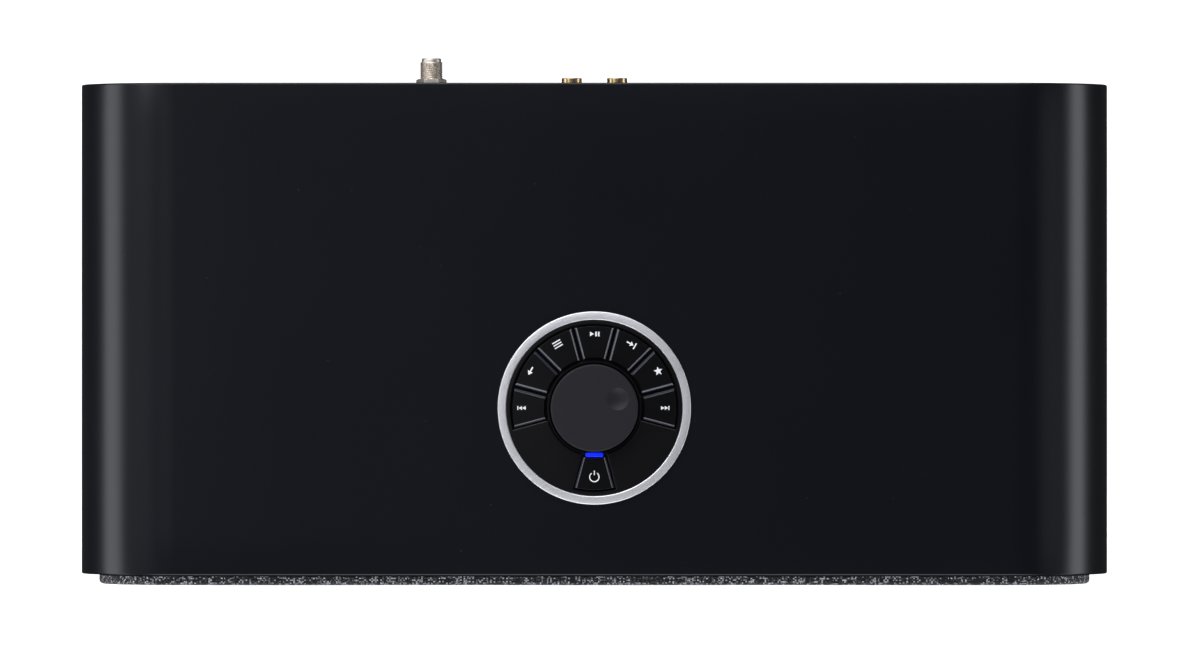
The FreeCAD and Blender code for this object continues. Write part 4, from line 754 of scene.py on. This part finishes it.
def key_cap(node, angle):
    """A key cap: a ring sector with upright sides, wide flat bevels at its straight sides, narrow ones at
    its arcs, and a sloping face. Its layers are one outline drawn in step by step, each at its own height.
    """
    half = KEY_PITCH / 2
    sector = (-half, half, KEY_INNER, KEY_OUTER, KEY_GAP)
    layers = [drawn_in(*sector, 0, KEY_LOW), drawn_in(*sector, 0, lambda r: face_height(r) - KEY_BEVEL)]
    for inset, drop in KEY_BEVEL_STEPS:
        layers.append(drawn_in(*sector, inset * MM, lambda r: face_height(r) - drop * MM, KEY_ARC_SHARE))
    for inset in (1.5 * MM, 2.4 * MM, 3.3 * MM):
        layers.append(drawn_in(*sector, inset, face_height))
    turn = math.radians(angle)
    rotate = np.array([[math.cos(turn), -math.sin(turn), 0], [math.sin(turn), math.cos(turn), 0], [0, 0, 1]])
    cap = skin(node + "_cap", np.array(layers) @ rotate.T + DIAL, "key_plastic", node, sharp=50)
    stem = stem_piece(node, rotate)
    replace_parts(cap, node)
    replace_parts(stem, node)


def stem_piece(node, rotate):
    """The guided stem under a key, with its collar below the deck."""
    middle, half_w, half_l, low, deck = 27 * MM, 1.5 * MM, 3 * MM, -6.2 * MM, -5.8 * MM
    layers = [[(middle + sx * width, sy * length, z) for sx, sy in ((1, 1), (-1, 1), (-1, -1), (1, -1))]
              for width, length, z in ((half_w + MM, half_l + MM, low), (half_w + MM, half_l + MM, deck),
                                       (half_w, half_l, deck), (half_w, half_l, KEY_LOW))]
    return skin(node + "_stem", np.array(layers) @ rotate.T + DIAL, "key_plastic", node)


def dial_housing():
    """Cup that carries the keys: a turned shell and two blank sectors that carry on the sloping face."""
    deck, floor, soft = -4 * MM, -5.5 * MM, 0.35 * MM
    rise = face_height(BARREL)
    profile = [
        (WALL_RADIUS - MM, floor), (31.65 * MM, floor), (31.65 * MM, -9 * MM),
        (TROUGH_OUTER, -9 * MM), (TROUGH_OUTER, -17 * MM), (BARREL, -17 * MM), (BARREL, 0),
        (38.4 * MM, 0), (38.4 * MM, 0.8 * MM), (BARREL, 0.8 * MM), (BARREL, rise),
        (BARREL - 0.15 * MM, rise + 0.06 * MM), (TROUGH_OUTER + 0.15 * MM, rise + 0.06 * MM),
        (TROUGH_OUTER, rise - 0.1 * MM), (TROUGH_OUTER, deck), (WALL_RADIUS, deck),
        (WALL_RADIUS, 0.35 * MM), (WALL_RADIUS - 0.15 * MM, 0.5 * MM),
        (WALL_RADIUS - MM + 0.15 * MM, 0.5 * MM), (WALL_RADIUS - MM, 0.35 * MM),
    ]
    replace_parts(lathe("dial_cup", profile, DIAL, "dial_plastic", count=192), "dial_housing")
    for name, low, high in (("left_blank_sector", 195, 255), ("right_blank_sector", 285, 345)):
        sector = (low, high, WALL_RADIUS, BARREL - 0.05 * MM, 0.0002 * MM)
        layers = [drawn_in(*sector, 0, deck - 0.2 * MM)]
        for turn in np.radians((0, 30, 60, 90)):
            drop = soft * (1 - math.sin(turn))
            layers.append(drawn_in(*sector, soft * (1 - math.cos(turn)), lambda r: face_height(r) - drop))
        for inset in (1 * MM, 3 * MM, 5.5 * MM, 7.6 * MM):
            layers.append(drawn_in(*sector, inset, face_height))
        piece = skin(name, np.array(layers) + DIAL, "dial_plastic", sharp=50)
        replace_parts(piece, "dial_housing")
    profile = [(9 * MM, floor), (WALL_RADIUS - MM, floor), (WALL_RADIUS - MM, deck), (9 * MM, deck)]
    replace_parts(lathe("encoder_floor", profile, DIAL, "dial_plastic"), "dial_housing")


def dial_knob():
    """Knob: a flat top with a rounded rim, a skirt, and a round finger dimple.

    The top is a polar grid about the dimple. Inside the dimple it sinks to the ball that cuts it,
    and its rings lie closer near the dimple's rim so that the rim stays crisp and round.
    """
    radius, top, soft, skin_depth, bottom = 17.7 * MM, 7 * MM, 0.7 * MM, 1.6 * MM, -2.6 * MM
    spot = 10.2 * MM * np.array([math.cos(math.radians(21)), math.sin(math.radians(21))])
    mouth, depth, past_rim = 4.55 * MM, 1.1 * MM, 1.06
    ball = (mouth ** 2 + depth ** 2) / (2 * depth)
    angle = circle(180)
    unit = np.stack([np.cos(angle), np.sin(angle)], 1)
    rings = []
    for share in np.concatenate([np.linspace(0.02, 0.9, 12), np.linspace(0.93, past_rim, 8)]):
        r = mouth * share
        sink = math.sqrt(ball ** 2 - r ** 2) - (ball - depth) if share < 1 else 0.0
        rings.append(level_row(spot + unit * r, top - max(0.0, sink)))
    flat_edge = radius - soft
    reach = edge_reach(spot, unit, flat_edge)
    for share in np.linspace(0, 1, 12)[1:]:
        r = mouth * past_rim * (1 - share) + reach * share
        rings.append(level_row(spot + unit * r[:, None], top))
    rim = rings[-1][:, :2] / np.linalg.norm(rings[-1][:, :2], axis=1)[:, None]
    for turn in np.radians(np.linspace(0, 90, 8))[1:]:
        r = flat_edge + soft * math.sin(turn)
        rings.append(level_row(rim * r, top - soft + soft * math.cos(turn)))
    for r, z in ((radius, 2 * MM), (radius, bottom), (radius - skin_depth, bottom),
                 (radius - skin_depth, top - skin_depth), (0.3 * MM, top - skin_depth)):
        rings.append(level_row(rim * r, z))
    knob = skin("knob_cap", np.array(rings) + DIAL, "knob_soft", "knob", sharp=40)
    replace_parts(knob, "dial_knob")
    bore, wall, foot = 3.02 * MM, 5 * MM, -0.5 * MM
    hub = lathe("knob_hub", [(bore, foot), (wall, foot), (wall, top - skin_depth), (bore, top - skin_depth)],
                DIAL, "knob_soft", "knob")
    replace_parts(hub, "dial_knob")


def edge_reach(spot, unit, radius):
    """How far each direction runs from a spot inside a circle to the circle."""
    along = unit @ spot
    return -along + np.sqrt(along ** 2 - spot @ spot + radius ** 2)


def power_light():
    """Lit bar below the knob: a rounded light guide."""
    low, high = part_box("power_light")
    centre, half = spans("power_light", "xy")
    layers = []
    for inset, level in ((0, low.z), (0, high.z - 0.25 * MM), (0.07 * MM, high.z - 0.07 * MM),
                         (0.25 * MM, high.z)):
        flat = rounded_outline(half[0] - inset, half[1] - inset, 0.6 * MM - inset, per_corner=8)
        layers.append(level_row(flat + centre, level))
    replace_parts(skin("power_light_bar", layers, "blue_light"), "power_light")


# Legends: generic signs, each a set of convex shapes about its own middle, in millimetres
def triangle(x, size, hand=1, length=0.9):
    return [(x - hand * size * length / 2, size / 2), (x + hand * size * length / 2, 0),
            (x - hand * size * length / 2, -size / 2)]


def bar(x, y, width, height):
    return [(x - width / 2, y - height / 2), (x + width / 2, y - height / 2),
            (x + width / 2, y + height / 2), (x - width / 2, y + height / 2)]


def ring_band(radius, width, start, end, steps=40):
    """A ring stretch made of short four-sided pieces."""
    outer = arc_points((0, 0), radius + width / 2, start, end, steps)
    inner = arc_points((0, 0), radius - width / 2, start, end, steps)
    return [[outer[k], outer[k + 1], inner[k + 1], inner[k]] for k in range(steps - 1)]


def star(size):
    """A five-pointed star made of kites about its middle."""
    def spot(step, radius):
        angle = math.radians(90 + 36 * step)
        return radius * math.cos(angle), radius * math.sin(angle)
    waist = size * 0.42
    return [[(0, 0), spot(2 * k - 1, waist), spot(2 * k, size), spot(2 * k + 1, waist)] for k in range(5)]


SIGNS = {
    "play_key": [triangle(-0.9, 1.9), bar(0.68, 0, 0.7, 1.9), bar(1.8, 0, 0.7, 1.9)],
    "skip_back_key": [bar(-1.65, 0, 0.45, 1.6), triangle(-0.65, 1.6, -1), triangle(0.85, 1.6, -1)],
    "skip_forward_key": [triangle(-0.85, 1.6), triangle(0.65, 1.6), bar(1.65, 0, 0.45, 1.6)],
    "back_key": [triangle(-0.95, 2.3, -1, 0.7), bar(0.85, 0, 2.0, 0.6)],
    "menu_key": [bar(0, 1.1, 3.6, 0.5), bar(0, 0, 3.6, 0.5), bar(0, -1.1, 3.6, 0.5)],
    "source_key": [bar(-1.2, 0, 1.7, 0.6), triangle(0.35, 2.1, 1, 0.7), bar(1.7, 0, 0.55, 2.7)],
    "preset_key": star(1.9),
    "power_key": ring_band(1.9, 0.42, 125, 415) + [bar(0, 1.7, 0.42, 1.8)],
}
SIGN_RADIUS = {"play_key": 30.0, "skip_back_key": 29.4, "skip_forward_key": 28.6, "power_key": 28.0}
SIGN_TURN = {"back_key": 60, "menu_key": 30, "source_key": -30, "preset_key": -60}
SIGN_REACH = 29.9
SIGN_LIFT = 0.012 * MM


def legends():
    """White signs printed on the keys, a hair above their sloping faces."""
    for node, shapes in SIGNS.items():
        angle = math.radians(KEYS[node])
        reach = SIGN_RADIUS.get(node, SIGN_REACH) * MM
        turn = math.radians(SIGN_TURN.get(node, 0))
        points, faces = [], []
        for shape in shapes:
            flat = np.asarray(shape, float) * MM
            x = flat[:, 0] * math.cos(turn) - flat[:, 1] * math.sin(turn) + reach * math.cos(angle)
            y = flat[:, 0] * math.sin(turn) + flat[:, 1] * math.cos(turn) + reach * math.sin(angle)
            if np.sum(x * np.roll(y, -1) - y * np.roll(x, -1)) < 0:
                x, y = x[::-1], y[::-1]
            level = face_height(np.hypot(x, y)) + SIGN_LIFT
            faces.append(list(range(len(points), len(points) + len(x))))
            points += list(np.stack([x, y, level], 1) + DIAL)
        new_piece(node + "_sign", points, faces, "legend", node, slot="key_plastic", sharp=None)


# Rear sockets
def nut_axis():
    (x, z), _ = spans("antenna_nut", "xz")
    return Vector((x, 0, z))


def antenna_thread():
    """Helical thread of the aerial socket, its plain tip with a bore, and the tuner can inside."""
    low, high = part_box("antenna_socket")
    axis = nut_axis()
    radius, pitch, groove, tip, bore = 4.76 * MM, 0.8 * MM, 0.42 * MM, 4.05 * MM, 3.2 * MM
    end = high.y
    start, stop, bore_end = REAR - 4 * MM, end - 1.55 * MM, end - 9 * MM
    angle = circle(72)
    depth = np.linspace(start, stop, 176)[:, None]
    phase = ((depth - start) / pitch - angle / (2 * math.pi)) % 1
    crest = np.clip(np.abs(phase - 0.5) * 3.2 - 0.3, 0, 1)
    fade = np.clip((stop - depth) / pitch, 0, 1)
    chamfer = 0.3 * MM * np.clip(1 - (stop - depth) / (0.4 * MM), 0, 1)
    swell = radius - groove * crest * fade - chamfer
    rows = [turned_row(r, at, angle) for r, at in zip(swell, depth[:, 0])]
    for r, y in ((tip, stop), (tip, end - 0.35 * MM), (tip - 0.1 * MM, end - 0.1 * MM),
                 (tip - 0.35 * MM, end), (bore + 0.1 * MM, end), (bore, end - 0.1 * MM), (bore, bore_end),
                 (0.4 * MM, bore_end)):
        rows.append(turned_row(r, y, angle))
    barrel = skin("aerial_thread", np.array(rows) + np.array(axis), "nickel", sharp=50)
    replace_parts(barrel, "antenna_socket")
    pin_hole, ring, face = 0.7 * MM, bore - 0.02 * MM, end - 1.2 * MM
    profile = [(pin_hole, bore_end), (ring, bore_end), (ring, face), (pin_hole, face)]
    insulator = lathe("aerial_insulator", profile, axis, "white_plastic", axis="rear", count=48,
                      slot="black_plastic")
    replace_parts(insulator, "antenna_socket")
    half = (high.z - low.z) / 2
    can = block_piece("tuner_can", (axis.x - half, low.y, axis.z - half),
                      (axis.x + half, start, axis.z + half), 1 * MM, "plated_steel")
    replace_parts(can, "antenna_socket")


def antenna_nut():
    """Hexagonal nut with turned chamfers, and its washer."""
    low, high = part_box("antenna_nut")
    axis = nut_axis()
    half_flats, bore, front, rear = 5.5 * MM, 4.82 * MM, high.y - 5.2 * MM, high.y
    chamfer, slope, soft, washer_radius = 0.35 * MM, 1.9, 0.2 * MM, 7 * MM
    angle = circle(144)
    hexagon = half_flats / np.cos((angle + math.pi / 6) % (math.pi / 3) - math.pi / 6)
    rows = []
    for y in [front + h * MM for h in (0, 0.15, 0.3, 0.5)] + [rear - h * MM for h in (0.5, 0.3, 0.15, 0)]:
        limit = half_flats * 0.99 + slope * min(y - front, rear - y)
        rows.append(turned_row(np.minimum(hexagon, limit), y, angle))
    for r, y in ((bore + chamfer, rear), (bore, rear - chamfer), (bore, front + chamfer),
                 (bore + chamfer, front)):
        rows.append(turned_row(r, y, angle))
    nut = skin("aerial_nut", np.array(rows) + np.array(axis), "nickel", ends="joined", sharp=24)
    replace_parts(nut, "antenna_nut")
    profile = [(bore, low.y), (washer_radius, low.y), (washer_radius, front - soft),
               (washer_radius - soft, front), (bore, front)]
    washer = lathe("aerial_washer", profile, axis, "nickel", axis="rear", count=96)
    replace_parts(washer, "antenna_nut")


def line_sockets():
    """Four phono sockets: gilded sleeves with rolled lips, coloured inner rings and one block."""
    low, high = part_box("line_sockets")
    radius, inner, ring, pin = 4.15 * MM, 3.65 * MM, 2.95 * MM, 1.6 * MM
    seat, end, lip = 90.15 * MM, high.y, 0.22 * MM
    back, front = seat + 2.5 * MM, end - 0.7 * MM
    block = block_piece("phono_block", low, (high.x, seat, high.z), 0.8 * MM, "black_plastic")
    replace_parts(block, "line_sockets")
    sleeve_profile = [(radius, seat), (radius, end - lip)]
    sleeve_profile += list(arc_points((radius - lip, end - lip), lip, 0, 90, 5)[1:])
    sleeve_profile += [(inner + lip, end), (inner, end - lip), (inner, back), (0.6 * MM, back),
                       (0.6 * MM, seat)]
    core_profile = [(pin, back), (ring, back), (ring, front - lip), (ring - lip, front), (pin + lip, front),
                    (pin, front - lip)]
    for level, z in (("upper", 90), ("lower", 76)):
        for side, x, core in (("left", -9.4, "white_plastic"), ("right", 9.4, "red_plastic")):
            name, centre = f"{side}_{level}_phono", (x * MM, 0, z * MM)
            sleeve = lathe(name + "_sleeve", sleeve_profile, centre, "gold", axis="rear", count=96)
            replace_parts(sleeve, "line_sockets")
            plug = lathe(name + "_core", core_profile, centre, core, axis="rear", count=64,
                         slot="black_plastic")
            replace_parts(plug, "line_sockets")


def block_piece(name, low, high, soft, finish):
    """A box whose edges are rounded."""
    low, high = Vector(low), Vector(high)
    size = high - low
    work = bmesh.new()
    bmesh.ops.create_cube(work, size=1)
    for corner in work.verts:
        corner.co = Vector((place + 0.5) * length for place, length in zip(corner.co, size)) + low
    bmesh.ops.bevel(work, geom=work.edges[:], offset=soft, segments=3, profile=0.5, affect="EDGES",
                    clamp_overlap=True)
    points = [tuple(corner.co) for corner in work.verts]
    faces = [[corner.index for corner in face.verts] for face in work.faces]
    work.free()
    return face_outwards(new_piece(name, points, faces, finish, sharp=40))


def reflex_ports():
    """Two port tubes: a lip at the mouth, a hollow arc down to the flange, and the tube behind it."""
    seat = 91.35
    hollow = arc_points((22.02, 4.78), 6.0, 214.5, 231.5, 8)
    turned = [(17, -62), (17, 1.1), (17.04, 1.3), (17.12, 1.38), *hollow, (18.7, 0.0), (23.3, 0.0),
              (23.65, -0.15), (23.8, -0.5), (23.8, -1.2), (18.8, -1.2), (18.8, -62)]
    profile = [(radius * MM, (seat + depth) * MM) for radius, depth in turned]
    for side, x in (("left", -140), ("right", 140)):
        tube = lathe(side + "_port_tube", profile, (x * MM, 0, 100 * MM), "black_plastic", axis="rear")
        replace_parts(tube, "reflex_ports")


def rubber_feet():
    """Four turned feet with a screw recess, a small round at the floor and a taper up to the cabinet."""
    turned = [(1.75, 3.5), (5, 3.5), (5, 0.3), (5.3, 0), (8.3, 0), (8.75, 0.12), (9.15, 0.42), (9.42, 0.85),
              (9.6, 1.4), (10.9, 6.6), (10.95, 7), (1.75, 7)]
    profile = [(radius * MM, height * MM) for radius, height in turned]
    for side, x in (("left", -155), ("right", 155)):
        for end, y in (("front", -76.35), ("rear", 67.65)):
            foot = lathe(f"{side}_{end}_foot", profile, (x * MM, y * MM, 0), "rubber", count=96)
            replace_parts(foot, "rubber_feet")


# Nodes that keep their CAD form: the rounding of their edges in mm, and the boards that are painted
# because their slots and holes show
SOFT_EDGES = {
    "front_fascia": 0.5, "rear_panel": 0.6, "socket_plate": 0.25, "mains_inlet": 0.3, "digital_sockets": 0.2,
    "slot_felt": 0.12, "rear_panel_screws": 0.12, "foot_screws": 0.12, "display_module": 0.2,
}
PAINTED = {"front_baffle": "painted_board"}
WELD = 0.003 * MM


def clean_copy(node, source, slot):
    """Weld a node's points, join its flat faces, and round a visible one's edges."""
    work = bmesh.new()
    work.from_mesh(source.data)
    bmesh.ops.remove_doubles(work, verts=work.verts, dist=WELD)
    bmesh.ops.dissolve_limit(work, angle_limit=math.radians(0.5), verts=work.verts, edges=work.edges)
    bmesh.ops.recalc_face_normals(work, faces=work.faces)
    mesh = bpy.data.meshes.new(node + "_form")
    work.to_mesh(mesh)
    work.free()
    piece = dress(node + "_form", mesh, PAINTED.get(node, slot), body_of(source)[0], slot=slot)
    if node in SOFT_EDGES:
        edge = piece.modifiers.new("soft edges", "BEVEL")
        edge.width = SOFT_EDGES[node] * MM
        edge.segments = 2
        edge.limit_method = "ANGLE"
        edge.angle_limit = math.radians(50)
        edge.harden_normals = True
    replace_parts(piece, node)


# Display
SEGMENTS = {"0": "abcdef", "1": "bc", "3": "abcdg"}
SEGMENT_PLACES = {
    "a": (0, 1, False), "b": (0.5, 0.5, True), "c": (0.5, -0.5, True), "d": (0, -1, False),
    "e": (-0.5, -0.5, True), "f": (-0.5, 0.5, True), "g": (0, 0, False),
}


def segment(x, z, length, width, upright):
    """One stroke of a digit: a bar with pointed ends."""
    half, thin = length / 2, width / 2
    shape = [(-half, 0), (-half + thin, thin), (half - thin, thin), (half, 0), (half - thin, -thin),
             (-half + thin, -thin)]
    if upright:
        shape = [(b, a) for a, b in shape]
    return [(x + a, z + b) for a, b in shape]


def display():
    """A thinner clear window, and behind it a clock reading made of lit strokes."""
    low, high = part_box("display_lens")
    middle, half = spans("display_lens", "xz")
    soft, corner = 0.3 * MM, 2 * MM
    layers = []
    for inset, depth in ((0, high.y - 0.3 * MM), (0, low.y + soft), (0.09 * MM, low.y + 0.09 * MM),
                         (soft, low.y)):
        flat = rounded_outline(half[0] - inset, half[1] - inset, corner - inset, per_corner=12)
        layers.append(upright_row(flat + middle, depth))
    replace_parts(skin("display_window", layers, "lens", sharp=50), "display_lens")
    size, width, step, gap, dot = 5.6 * MM, 1.1 * MM, 8.6 * MM, 0.5 * MM, 0.6 * MM
    shapes = []
    for place, digit in zip((-1.75, -0.75, 0.75, 1.75), "1030"):
        for name in SEGMENTS[digit]:
            x, z, upright = SEGMENT_PLACES[name]
            shapes.append(segment(place * step + x * size, z * size, size - gap, width, upright))
    for level in (-0.5, 0.5):
        shapes.append([(dot * math.cos(a), level * size + dot * math.sin(a)) for a in circle(16)])
    depth = high.y - 0.12 * MM
    points, faces = [], []
    for shape in shapes:
        faces.append(list(range(len(points), len(points) + len(shape))))
        points += [(middle[0] + x, depth, middle[1] + z) for x, z in shape]
    face_front(new_piece("clock_digits", points, faces, "digits", slot="display", sharp=None))


# Stage
FLOOR_GLOW = 0.8
GLOSSY_GLOW = 0.012
WORLD_TONE = (0.034, 0.036, 0.051)
LIGHT_TINT = (0.93, 0.95, 1.0)
LIGHTS = (
    # name, place, aimed at, width, height, power; glossy surfaces don't mirror a fill
    ("left_softbox", (-1.5, -0.35, 0.31), (0, -0.05, 0.13), 2.2, 0.62, 11.2),
    ("right_softbox", (1.5, -0.35, 0.27), (0, -0.05, 0.13), 2.2, 0.52, 10.4),
    ("low_front_softbox", (0.0, -1.6, 0.6), (0, 0, 0.13), 1.6, 0.56, 7.5),
    ("front_softbox", (-0.3, -2.0, 1.9), (0, 0, 0.1), 2.4, 1.7, 28.0),
    ("front_fill", (-0.3, -2.0, 1.9), (0, 0, 0.1), 2.4, 1.7, 22.0),
    ("rear_softbox", (-0.7, 2.0, 1.8), (0, 0, 0.1), 3.8, 2.1, 86.0),
    ("ceiling_card", (-0.85, 0.12, 3.2), (0, 0, 0.1), 0.8, 1.0, 1.1),
    ("left_high_card", (-2.2, 0.0, 2.3), (0, 0, 0.1), 1.6, 1.6, 2.5),
    ("right_high_card", (2.2, 0.0, 2.1), (0, 0, 0.1), 1.1, 1.1, 1.3),
)


def stage_material():
    """Pale floor. The camera sees it as white with the object's shadow, and mirrors see it dimmer.

    In the photograph the cabinet's rounded sides mirror a dim room below the side lights.
    """
    material, tree, shader = new_material("studio_floor")
    path = put(tree, "LightPath")
    camera_ray = path.outputs["Is Camera Ray"]
    mirrored = calc(tree, "MAXIMUM", path.outputs["Is Glossy Ray"], path.outputs["Is Transmission Ray"])
    tone = blend_colours(tree, camera_ray, (0.035, 0.035, 0.035, 1), (0.7, 0.7, 0.7, 1))
    glow = calc(tree, "ADD", calc(tree, "MULTIPLY", camera_ray, FLOOR_GLOW),
                calc(tree, "MULTIPLY", mirrored, GLOSSY_GLOW))
    feed(tree, shader, Base_Color=tone, Roughness=0.9, Specular_IOR_Level=0.0,
         Emission_Color=(1, 1, 1, 1), Emission_Strength=glow)
    return material


def stage():
    size = 6.0
    corners = [(-size, -size, 0), (size, -size, 0), (size, size, 0), (-size, size, 0)]
    mesh = bpy.data.meshes.new("studio_floor")
    mesh.from_pydata(corners, [], [(0, 1, 2, 3)])
    mesh.materials.append(stage_material())
    add_object("studio_floor", mesh)


def lights():
    """Rectangular lamps, each turned to its target, and a world that the camera sees as white."""
    for name, spot, target, width, height, power in LIGHTS:
        data = bpy.data.lights.new(name, "AREA")
        data.shape = "RECTANGLE"
        data.size = width
        data.size_y = height
        data.energy = power
        data.color = LIGHT_TINT
        lamp = add_object(name, data)
        lamp.location = spot
        lamp.rotation_euler = (Vector(target) - Vector(spot)).to_track_quat("-Z", "Y").to_euler()
        lamp.visible_camera = False
        lamp.visible_glossy = not name.endswith("_fill")
    world = bpy.data.worlds.new("studio")
    world.use_nodes = True
    tree = world.node_tree
    path = put(tree, "LightPath")
    tone = blend_colours(tree, path.outputs["Is Camera Ray"], WORLD_TONE + (1,), (1, 1, 1, 1))
    feed(tree, tree.nodes["Background"], Color=tone, Strength=1.0)
    bpy.context.scene.world = world


def camera():
    """Straight down from far away, as the photograph was taken."""
    data = bpy.data.cameras.new("photo_camera")
    data.sensor_width = SENSOR
    data.lens = SENSOR * CAMERA_HEIGHT / (PHOTO_WIDTH / PHOTO_SCALE * MM)
    data.clip_end = 50
    eye = add_object("photo_camera", data)
    eye.location = (PHOTO_AXIS[0], (FRONT + REAR) / 2 + PHOTO_AXIS[1], TOP + CAMERA_HEIGHT)
    bpy.context.scene.camera = eye


cabinet_shell()
grille_cloth()
trim_ring()
dial_housing()
for key_node, key_angle in KEYS.items():
    key_cap(key_node, key_angle)
legends()
dial_knob()
power_light()
antenna_thread()
antenna_nut()
line_sockets()
reflex_ports()
rubber_feet()
display()
SLOTS = {row["node"]: row["material_slot"] for row in frame["record"]["subparts"]}
for cad_node, cad_source in frame["nodes"].items():
    if not cad_source.hide_render:
        clean_copy(cad_node, cad_source, SLOTS[cad_node])
stage()
lights()
camera()
bpy.context.scene.view_settings.view_transform = "Standard"
